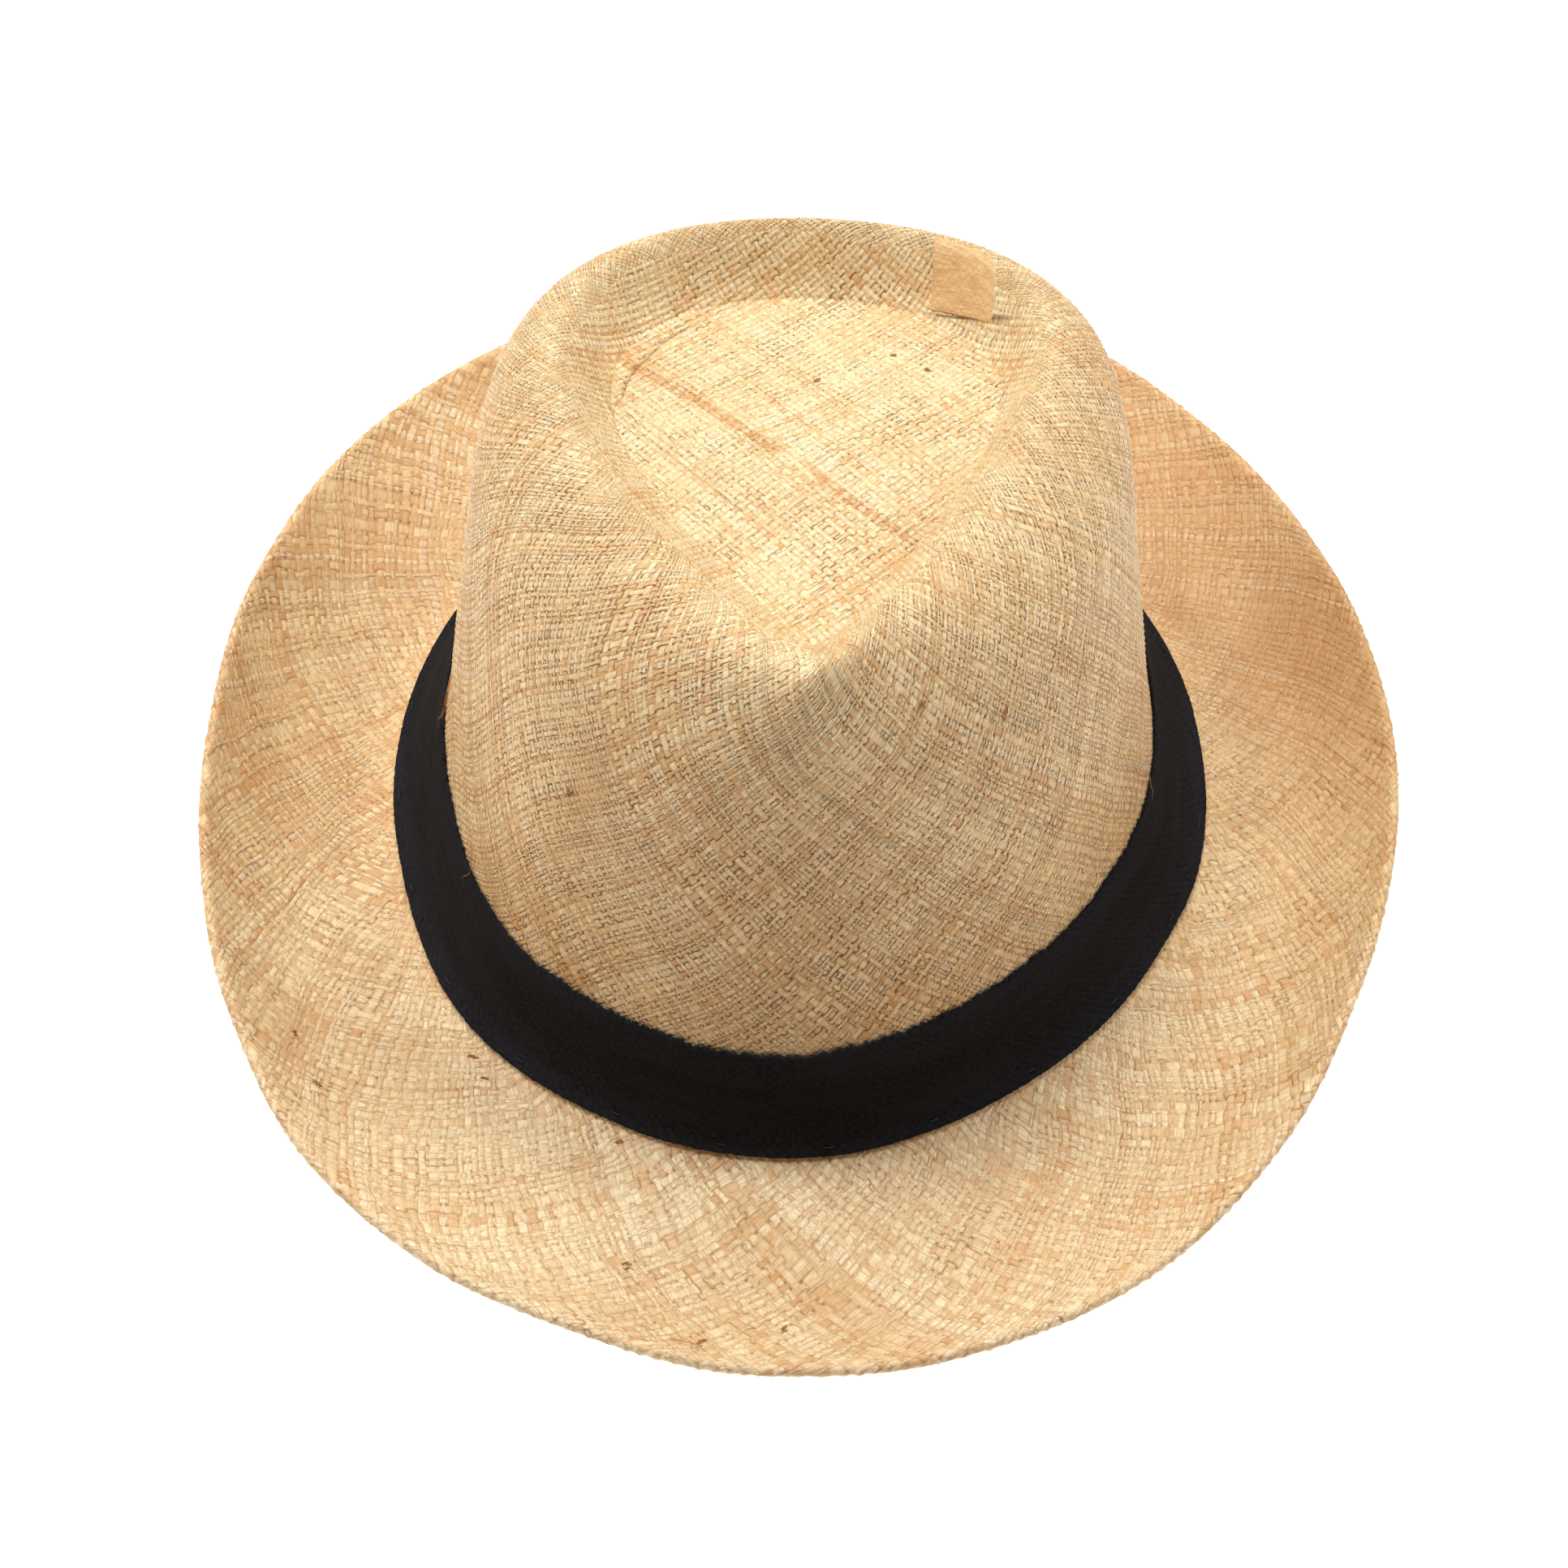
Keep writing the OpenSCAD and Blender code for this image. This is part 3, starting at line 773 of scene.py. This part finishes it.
def top_sheet(name, s_from, cols, rows, amp):
    s_mid = np.concatenate([np.linspace(s_from, 12.4, rows), np.linspace(12.4, LAST, rows // 2 + 1)[1:]])
    t = np.linspace(0, TAU, cols, endpoint=False)
    s2, th = np.meshgrid(s_mid, t, indexing="ij")
    tt = t_from_theta(np.minimum(s2, LAST), th)
    u, v = top_weave(s2, tt)
    par = np.floor(u) + np.floor(v)
    along = np.where(par % 2 == 0, v % 1, u % 1)
    across = np.where(par % 2 == 0, u % 1, v % 1)
    h = amp * (np.sin(np.pi * along) - 0.6 - 0.4 * np.abs(2 * across - 1) ** 2)
    # the crease at the foot of the dent's wall, sharpest on the left
    deg = degrees_round(tt)
    fold = np.exp(-((s2 - crease_at(deg)) / 0.06) ** 2)
    h = h - 0.4 * fold * np.exp(-((deg + 122) / 26) ** 4)
    h = h - 0.7 * np.clip((seam(tt) - s2) / 0.12, 0, 1)
    p = lifted(s2, tt, h)
    co = np.concatenate([p.reshape(-1, 3), p[-1].mean(0, keepdims=True)])
    quads = grid_faces(len(s_mid), cols, True)
    last = (len(s_mid) - 1) * cols
    j = np.arange(cols)
    tris = np.stack([last + j, last + (j + 1) % cols, np.full(cols, len(co) - 1)], -1)
    uv_v = np.concatenate([np.stack([u, v], -1).reshape(-1, 2), [[u[-1].mean(), v[-1].mean()]]])
    sp_v = np.concatenate([np.stack([s2 / LAST, tt / TAU % 1], -1).reshape(-1, 2), [[1, 0]]])
    loops = np.concatenate([quads.ravel(), tris.ravel()])
    ob = new_mesh(name, co, quads, tris, uv_v[loops], sp_v[loops])
    marks = marks_at(s2, tt)
    # painted shade: a dark line along the crease at the foot of the dent's left wall
    fold_mm = (s2 - crease_at(deg)) * 13.0
    depth = np.exp(-((deg + 122) / 24) ** 4)
    marks[..., 0] = np.maximum(marks[..., 0], 0.75 * np.exp(-(fold_mm / 0.26) ** 2) * depth)
    # painted shade: a soft brownish line along the foot of the dent's wall, fading out towards the back
    foot = np.exp(-((s2 - 11.45) / 0.16) ** 2) * np.clip((125 - np.abs(deg)) / 30, 0, 1)
    marks[..., 2] = np.maximum(marks[..., 2], 0.7 * foot)
    # painted shade: a dark line along the lower edge of the lap patch, where its fold is
    lap = np.exp(-((s2 - 10.93 - 0.028 * (deg - 142)) * 11 / 0.45) ** 2) * np.exp(-((deg - 140) / 11.5) ** 6)
    marks[..., 0] = np.maximum(marks[..., 0], 0.9 * lap)
    (ua, ub), (va, vb) = top_weave(np.array([12.44, 12.6]), np.radians([-122.0, 61.0]))
    along_u = abs(vb - va) < abs(ub - ua)
    if along_u:
        off = np.abs(v - (va + (u - ua) * (vb - va) / (ub - ua)))
    else:
        off = np.abs(u - (ua + (v - va) * (ub - ua) / (vb - va)))
    run = ((u - ua) * (ub - ua) + (v - va) * (vb - va)) / math.hypot(ub - ua, vb - va)
    dashes = np.where(np.sin(run * TAU / 1.5) > -0.3, 1.0, 0.2)
    marks[..., 1] = np.where((off < 0.95) & (s2 > 11.9), dashes, 0.0)
    paint(ob.data, np.concatenate([marks.reshape(-1, 3), [[0, 0, 0]]]))
    return ob


piece(top_sheet("straw_dent", S_SEAM - 0.25, 820, 80, 0.15), straw, "straw", "hat_body")


# ---------------- the inside and underside
def under_sheet():
    top = np.linspace(10.5, LAST, 50)[1:]
    s = np.concatenate([np.linspace(0.15, 5, 70), np.linspace(5, 10.5, 90)[1:], top])
    cols = 480
    th = np.linspace(0, TAU, cols + 1)
    s2, th2 = np.meshgrid(s, th, indexing="ij")
    tt = t_from_theta(s2, th2)
    sw = np.minimum(s2, 10.3)
    u = (th2 - np.interp(sw, _se, _g1) - drift(sw, th2)) * N / TAU + N
    v = u + row_of(s2)
    h = 0.10 * np.sin(np.pi * u) * np.sin(np.pi * v)
    p = lifted(s2, tt, h - STRAW_T)
    p[:, -1] = p[:, 0]
    co = np.concatenate([p.reshape(-1, 3), p[-1, :-1].mean(0, keepdims=True)])
    quads = grid_faces(len(s), cols + 1)[:, ::-1]
    last = (len(s) - 1) * (cols + 1)
    j = np.arange(cols)
    tris = np.stack([last + j + 1, last + j, np.full(cols, len(co) - 1)], -1)
    uvv = np.concatenate([np.stack([u, v], -1).reshape(-1, 2), [[u[-1].mean(), v[-1].mean()]]])
    spv = np.concatenate([np.stack([0 * s2 + 0.1, th2 / TAU], -1).reshape(-1, 2), [[0.1, 0]]])
    loops = np.concatenate([quads.ravel(), tris.ravel()])
    ob = new_mesh("straw_inside", co, quads, tris, uvv[loops], spv[loops])
    paint(ob.data, np.zeros((len(co), 3)))
    return ob


piece(under_sheet(), straw_in, "straw", "hat_body")


# ---------------- ribbons
def ribbon(name, s_from, s_to, t_from, t_to, low, high, cols, rows, pitch, wave, seed):
    """A strip of ribbon with rounded edges between two heights off the straw's face."""
    closed = t_to - t_from > TAU - 1e-6
    mid, half = (low + high) / 2, (high - low) / 2
    fr = np.linspace(0, 1, rows)
    turn_round = np.radians(np.linspace(90, -90, 7))[1:-1]
    edge = half / section_mm((s_from + s_to) / 2 + 0.005)
    run = (s_to - s_from - 2 * edge) * fr
    bulge = edge * np.cos(turn_round)
    start, end = s_from + edge, s_to - edge
    loop_s = np.concatenate([start + run, end + bulge, end - run, start - bulge])
    flat, side = np.full(rows, half), half * np.sin(turn_round)
    loop_d = np.concatenate([flat, side, -flat, -side])
    k = len(loop_s)
    th = np.linspace(t_from, t_to, cols, endpoint=not closed)
    r = np.random.default_rng(seed)
    ph = r.uniform(0, TAU, 6)
    s2, t2 = np.meshgrid(loop_s, th, indexing="ij")
    d2 = np.repeat(loop_d[:, None], len(th), 1) + mid
    way = sum(np.sin(f * t2 + ph[n]) / (1 + n) for n, f in enumerate((5, 11, 23, 41, 67, 97)))
    upper = np.clip((s2 - s_from) / (s_to - s_from), 0, 1)
    rough = r.normal(0, 0.5, (2, len(th)))
    from_middle = 2 * upper - 1
    ragged = np.where(upper > 0.5, rough[1], rough[0]) * np.abs(from_middle) ** 6
    s2 = s2 + wave * (0.012 * way * from_middle + 0.02 * ragged)
    d2 = d2 + np.where(loop_d[:, None] > 0, 1, 0) * wave * 0.05 * way * np.sin(upper * math.pi)
    p = lifted(s2, t2, d2)
    i, j = np.meshgrid(np.arange(k), np.arange(len(th) if closed else len(th) - 1), indexing="ij")
    jn, in_ = (j + 1) % len(th), (i + 1) % k
    n = len(th)
    quads = np.stack([i * n + j, i * n + jn, in_ * n + jn, in_ * n + j], -1).reshape(-1, 4)
    path = np.concatenate([[0], np.cumsum(np.linalg.norm(np.diff(p[:, 0], axis=0), axis=-1))]) / pitch
    length = np.concatenate([[0], np.cumsum(np.linalg.norm(np.diff(p[0], axis=0), axis=-1))]) / pitch
    uu, vv = np.meshgrid(length, path, indexing="xy")
    uv_v = np.stack([uu, vv], -1).reshape(-1, 2)
    uv = uv_v[quads.ravel()].reshape(-1, 4, 2)
    wrap_cols = (j == n - 1).ravel()
    if closed:
        uv[wrap_cols, 1:3, 0] = length[-1] + length[1]
    wrap_rows = (i == k - 1).ravel()
    uv[wrap_rows, 2:, 1] = path[-1] + 1
    tris = None
    if not closed:
        caps = []
        for col, rev in ((0, False), (n - 1, True)):
            ring = np.arange(k) * n + col
            for q in range(1, k - 1):
                tri = [ring[0], ring[q], ring[q + 1]]
                caps.append(tri[::-1] if rev else tri)
        tris = np.array(caps)
        uv = np.concatenate([uv.reshape(-1, 2), uv_v[tris.ravel()]])
    return new_mesh(name, p.reshape(-1, 3), quads, tris, uv.reshape(-1, 2))


band_mat = ribbon_material("band_cloth", lin(8, 8, 11), lin(43, 43, 48), 0.9, 0.2, 0.0)
sweat_mat = ribbon_material("sweatband_cloth", lin(34, 31, 29), lin(74, 68, 63), 0.7, 0.12, 0.1)
tape_mat = ribbon_material("seam_tape_cloth", lin(52, 48, 44), lin(92, 86, 79), 0.72, 0.1, 0.1)
tab_mat = ribbon_material("tab_cloth", lin(205, 200, 188), lin(238, 234, 222), 0.5, 0.05, 0.2)

band_top = LAY + BAND_T
band = ribbon("ribbon_band", BASE, LINE, 0, TAU, LAY, band_top, 1080, 26, 0.55, 1.0, 5)
piece(band, band_mat, "band_ribbon", "hat_band")
sleeve = ribbon("band_join_sleeve", BASE - 0.02, LINE + 0.03, math.pi - TURN, math.pi + TURN,
                band_top + LAY, band_top + LAY + KEEPER_T, 40, 26, 0.55, 0.5, 9)
piece(sleeve, band_mat, "band_ribbon", "band_keeper")
sf = -STRAW_T - LAY - SWEAT_T
sweatband = ribbon("sweatband_ribbon", BASE, LINE, 0, TAU, sf, sf + SWEAT_T, 1080, 26, 0.8, 0.6, 6)
piece(sweatband, sweat_mat, "sweatband_ribbon", "sweatband")
tape = ribbon("sweatband_join_tape", BASE, LINE, math.pi - TURN, math.pi + TURN,
              sf - LAY - TAPE_T, sf - LAY, 30, 22, 0.5, 0.3, 2)
piece(tape, tape_mat, "seam_tape", "sweatband_seam_tape")
tab = ribbon("blank_tab", BASE + 1, LINE, math.pi + 3 * TURN, math.pi + 5 * TURN,
             sf - LAY - TAB_T, sf - LAY, 30, 18, 0.35, 0.3, 4)
piece(tab, tab_mat, "tab_fabric", "size_tab")


# ---------------- sewing
def tube(middle, radius, side, up, a):
    """Rings of points at angles a round a middle line."""
    way = np.cos(a)[None, :, None] * side[:, None] + np.sin(a)[None, :, None] * up[:, None]
    return middle[:, None] + radius[:, None, None] * way


HEM_STITCHES, HEM_STITCH_DEG = 180, 1.3
BAND_STITCHES, BAND_STITCH_DEG = 24, 1.5
SWEAT_STITCHES, SWEAT_STITCH_DEG = 120, 1.9
JOIN_SKIP_DEG = 10     # no stitches this close to the back, where the ribbons' joins are covered


def stitches(name, s, count, deg, low, skip, seed):
    """Short arched thread stitches, each dipping into the cloth at its ends."""
    thick = STITCH_T
    r = np.random.default_rng(seed)
    sides, rings = 7, 7
    co, quads, tris, uvs, uvt = [], [], [], [], []
    for k in range(count):
        t0 = (k + 0.5) * TAU / count
        if abs(math.degrees(t0) - 180) <= skip:
            continue
        half = math.radians(deg) / 2
        x = np.linspace(-1, 1, rings)
        t = t0 + half * x + r.normal(0, 0.0006)
        ss = s + r.normal(0, 0.008) + 0.012 * x * r.normal()
        rad = thick / 2 * (1 - 0.45 * np.abs(x) ** 4)
        mid = low + thick / 2 - 0.22 * np.abs(x) ** 4
        c = lifted(np.full(rings, 0.0) + ss, t, mid)
        nn = outward(np.full(rings, 0.0) + ss, t)
        tan = unit(np.gradient(c, axis=0))
        side = np.cross(tan, nn)
        a = np.linspace(0, TAU, sides, endpoint=False)
        ring = tube(c, rad, side, nn, a)
        b = len(co) * sides * rings
        co.append(ring.reshape(-1, 3))
        q = grid_faces(rings, sides, True) + b
        quads.append(q)
        uu, vv = np.meshgrid(x * 1.5, a / TAU * 3, indexing="ij")
        uvs.append(np.stack([uu, vv], -1).reshape(-1, 2)[(q - b).ravel()])
        cap = [[b, b + m + 1, b + m] for m in range(1, sides - 1)]
        e = b + (rings - 1) * sides
        cap += [[e, e + m, e + m + 1] for m in range(1, sides - 1)]
        tris.append(cap)
        uvt.append(np.zeros((len(cap) * 3, 2)))
    uv = np.concatenate(uvs).reshape(-1, 4, 2)[:, ::-1].reshape(-1, 2)
    uv = np.concatenate([uv, np.concatenate(uvt)])
    quads, tris = np.concatenate(quads)[:, ::-1], np.concatenate(tris)[:, ::-1]
    return new_mesh(name, np.concatenate(co), quads, tris, uv)


# each thread's lighter colour is also its painted highlight on the ply crests
pale_thread = thread_material("pale_thread", lin(176, 140, 96), lin(236, 214, 172))
black_thread = thread_material("black_thread", lin(14, 13, 13), lin(56, 53, 52))
under = -STRAW_T - LAY - HEM_T
hem_thread = stitches("hem_thread", 0.5, HEM_STITCHES, HEM_STITCH_DEG, under - LAY - STITCH_T, 0, 1)
piece(hem_thread, pale_thread, "pale_thread", "hem_stitching")
band_thread = stitches("band_thread", BASE + 0.35, BAND_STITCHES, BAND_STITCH_DEG, band_top + LAY,
                       JOIN_SKIP_DEG, 2)
piece(band_thread, black_thread, "black_thread", "band_stitching")
sweat_thread = stitches("sweatband_thread", BASE + 0.5, SWEAT_STITCHES, SWEAT_STITCH_DEG,
                        sf - 2 * LAY - STITCH_T, JOIN_SKIP_DEG, 3)
piece(sweat_thread, pale_thread, "pale_thread", "sweatband_stitching")


# ---------------- lap patch, knots and loose fibres
def plain_straw(name, dark, light, edge):
    """Straw pressed smooth. uv map weave is in millimetres."""
    g = Nodes(name)
    u, v = g.uv("weave")
    streak = g.noise(g.xyz(g.mul(u, 0.25), g.mul(v, 2.4), 0.0), 1.0, 4.0, 0.65)
    pool = g.noise(g.xyz(g.mul(u, 0.35), g.mul(v, 0.35), 4.0), 1.0, 3.0)
    cross = g.math("PINGPONG", g.add(u, v), 0.8)
    cross2 = g.math("PINGPONG", g.sub(u, v), 0.8)
    weft = g.math("MINIMUM", cross, cross2)
    col = g.mix(g.ramp(streak, 0.3, 0.7), dark, light)
    col = g.mix(g.ramp(pool, 0.4, 0.7, 0.0, 0.4), col, edge)
    col = g.mix(g.ramp(weft, 0.0, 0.2, 0.22, 0.0), col, edge)
    g.give("Base Color", col)
    g.give("Roughness", g.ramp(streak, 0.2, 0.8, 0.5, 0.62))
    g.give("Specular IOR Level", 0.3)
    g.give("Normal", g.bump(g.add(streak, g.mul(g.ramp(weft, 0.0, 0.25), 0.5)), 0.00012, 0.8))
    return g.mat


def lap_patch():
    rows, cols = 42, 60
    x, y = np.linspace(-1, 1, cols)[None, :], np.linspace(-1, 1, rows)[:, None]
    down = (y + 1) / 2
    s2 = 10.05 + down * (0.86 + 0.15 * x)
    t2 = np.radians(148.0 + 8.0 * x - down * (6.0 - 1.5 * x))
    edge = np.maximum(np.abs(x), np.abs(y)) ** 10
    d = LAY + PATCH_T * (0.75 - 0.6 * edge) + 0.03 * np.sin(s2 * 60 + t2 * 40)
    d = d - 0.45 * np.clip(-(x + 0.5) / 0.5, 0, 1) ** 2 - 0.25 * np.clip(-(y + 0.6) / 0.4, 0, 1)
    top = lifted(s2, t2, d)
    low = lifted(s2, t2, 0 * d - 0.12)
    co = np.concatenate([top.reshape(-1, 3), low.reshape(-1, 3)])
    n = rows * cols
    f = grid_faces(rows, cols)
    rim = [(r, 0) for r in range(rows)] + [(rows - 1, c) for c in range(1, cols)]
    rim += [(r, cols - 1) for r in range(rows - 2, -1, -1)] + [(0, c) for c in range(cols - 2, 0, -1)]
    ring = np.array([r * cols + c for r, c in rim])
    nxt = np.roll(ring, -1)
    walls = np.stack([ring, nxt, nxt + n, ring + n], -1)
    quads = np.concatenate([f, f[:, ::-1] + n, walls])
    mm_u, mm_v = np.meshgrid(np.linspace(0, 16, cols), np.linspace(0, 13, rows), indexing="xy")
    uv = np.tile(np.stack([mm_u, mm_v], -1).reshape(-1, 2), (2, 1))
    return new_mesh("crown_lap", co, quads, None, uv[quads.ravel()])


patch_mat = plain_straw("pressed_straw", lin(214, 168, 112), lin(241, 205, 152), lin(200, 150, 96))
piece(lap_patch(), patch_mat, "patch_straw", "crown_lap_patch")

# Each knot's section, and its angle from the front in degrees.
KNOTS = [(1.28, -56), (1.3, -50), (4.08, -43), (3.72, -40), (4.36, -21), (1.96, -14), (1.3, 2),
         (0.84, -5), (8.28, -41), (9.2, 36), (8.8, 49), (12.8, 151), (12.76, 137), (13.4, 176)]


def knots():
    """Small brown lumps where a strand was joined or split."""
    r = np.random.default_rng(21)
    co, quads, uvs = [], [], []
    for s0, deg in KNOTS:
        t0 = math.radians(deg)
        n = outward(np.array(s0), np.array(t0))
        e1 = unit(face(s0, t0 + 1e-3) - face(s0, t0 - 1e-3))
        e2 = np.cross(n, e1)
        turn = r.uniform(0.6, 1.0)
        a1, a2 = math.cos(turn) * e1 + math.sin(turn) * e2, math.cos(turn) * e2 - math.sin(turn) * e1
        for _ in range(3):
            w, h = r.uniform(0.4, 0.9), r.uniform(0.2, 0.4)
            base = face(s0, t0) + a1 * r.normal(0, 0.6) + a2 * r.normal(0, 0.35)
            around = np.linspace(0, TAU, 12, endpoint=False)
            th, ph = np.meshgrid(around, np.linspace(0.0, 1.2, 6), indexing="ij")
            rad = 1 + 0.22 * np.sin(3 * th + r.uniform(0, 6)) + 0.15 * np.sin(5 * th + r.uniform(0, 6))
            p = base + a1 * (w * rad * np.cos(th) * np.sin(ph + 0.3))[..., None]
            p = p + a2 * (h * rad * np.sin(th) * np.sin(ph + 0.3))[..., None]
            p = p + n * (0.30 * np.cos(ph + 0.3) - 0.02)[..., None]
            b = len(co) * 72
            i, j = np.meshgrid(np.arange(12), np.arange(5), indexing="ij")
            k = (i + 1) % 12
            q = np.stack([i * 6 + j, i * 6 + j + 1, k * 6 + j + 1, k * 6 + j], -1) + b
            quads.append(q.reshape(-1, 4))
            co.append(p.reshape(-1, 3))
            uvs.append(np.stack([th * 0.6, ph * 2 + s0], -1).reshape(-1, 2))
    quads = np.concatenate(quads)
    return new_mesh("straw_knots", np.concatenate(co), quads, None, np.concatenate(uvs)[quads.ravel()])


knot_mat = plain_straw("brown_straw", lin(166, 114, 58), lin(216, 166, 102), lin(138, 90, 44))
piece(knots(), knot_mat, "straw")

# Each fibre's two ends, as (section, degrees from the front), and its height off the straw.
FIBRES = [((7.55, -82), (6.85, -84), 1.0), ((7.4, -84.5), (6.9, -83), 1.2), ((7.2, -60), (6.8, -57), 0.9),
          ((0.6, -8), (0.1, -4), 0.8), ((10.1, 20), (9.7, 26), 0.8), ((7.3, 74), (6.9, 78), 0.9)]


def fibres():
    co, quads, uvs = [], [], []
    for (s0, deg0), (s1, deg1), high in FIBRES:
        x = np.linspace(0, 1, 16)
        t = np.radians(deg0 + (deg1 - deg0) * x + 1.5 * np.sin(x * 5))
        c = lifted(s0 + (s1 - s0) * x, t, high * np.sin(x * math.pi) * 0.9 + 0.35 + 0.5 * (x > 0.6))
        tan = unit(np.gradient(c, axis=0))
        side = unit(np.cross(tan, [0.2, 0.3, 1.0]))
        up = np.cross(side, tan)
        a = np.linspace(0, TAU, 6, endpoint=False)
        rad = 0.10 * (1 - 0.6 * x)
        p = tube(c, rad, side, up, a)
        q = grid_faces(16, 6, True)
        quads.append(q + len(co) * 96)
        co.append(p.reshape(-1, 3))
        uu, vv = np.meshgrid(x * 10, a, indexing="ij")
        uvs.append(np.stack([uu, vv], -1).reshape(-1, 2))
    quads = np.concatenate(quads)
    return new_mesh("loose_fibres", np.concatenate(co), quads, None, np.concatenate(uvs)[quads.ravel()])


piece(fibres(), plain_straw("orange_straw", lin(196, 128, 60), lin(232, 178, 104), lin(150, 92, 40)), "straw")

# ---------------- stage, lights, camera
floor_me = bpy.data.meshes.new("floor")
F = 4.0
floor_me.from_pydata([(-F, -F, 0), (F, -F, 0), (F, F, 0), (-F, F, 0)], [], [(0, 1, 2, 3)])
floor = bpy.data.objects.new("floor", floor_me)
bpy.context.scene.collection.objects.link(floor)
floor.location.z = -0.0004
g = Nodes("floor_paper")
grain = g.noise(g.coords(), 900.0, 2.0)
g.give("Base Color", g.mix(grain, (0.90, 0.90, 0.90), (0.93, 0.93, 0.93)))
g.give("Roughness", 0.95)
g.give("Specular IOR Level", 0.1)
g.give("Emission Color", (1, 1, 1, 1))
g.give("Emission Strength", 0.86)
floor_me.materials.append(g.mat)


def area_light(name, loc, target, size, power, colour=(1, 1, 1)):
    light = bpy.data.lights.new(name, "AREA")
    light.shape = "DISK"
    light.size = size
    light.energy = power
    light.color = colour
    ob = bpy.data.objects.new(name, light)
    bpy.context.scene.collection.objects.link(ob)
    ob.location = loc
    ob.rotation_euler = (Vector(target) - Vector(loc)).to_track_quat("-Z", "Y").to_euler()
    return ob


area_light("soft_top", (-0.24, 0.2, 1.37), (0, 0, 0.05), 0.7, 15.2, (1, 0.99, 0.97))
area_light("soft_left", (-1.1, 0.2, 0.8), (0, 0, 0.05), 0.7, 5.0, (1, 0.99, 0.975))
area_light("soft_right", (1.1, 0.2, 0.8), (0, 0, 0.05), 0.7, 6.0)
area_light("soft_back", (0, 0.9, 1.1), (0, 0, 0.05), 0.7, 6.5)

world = bpy.data.worlds.new("studio")
bpy.context.scene.world = world
world.use_nodes = True
world.node_tree.nodes["Background"].inputs[0].default_value = (1, 1, 1, 1)
world.node_tree.nodes["Background"].inputs[1].default_value = 0.03

bpy.context.scene.view_settings.view_transform = "Standard"

AIM = Vector((-2.2, -16.4, 20.9)) * MM
EYE = Vector((18.6, -447.0, 519.8)) * MM
cam_data = bpy.data.cameras.new("camera")
cam_data.lens = 72.2
cam_data.sensor_width = 36
cam_data.clip_start = 0.01
cam = bpy.data.objects.new("camera", cam_data)
bpy.context.scene.collection.objects.link(cam)
cam.location = EYE
cam.rotation_euler = (AIM - EYE).to_track_quat("-Z", "Y").to_euler()
bpy.context.scene.camera = cam

# ---------------- final update
bpy.context.view_layer.update()
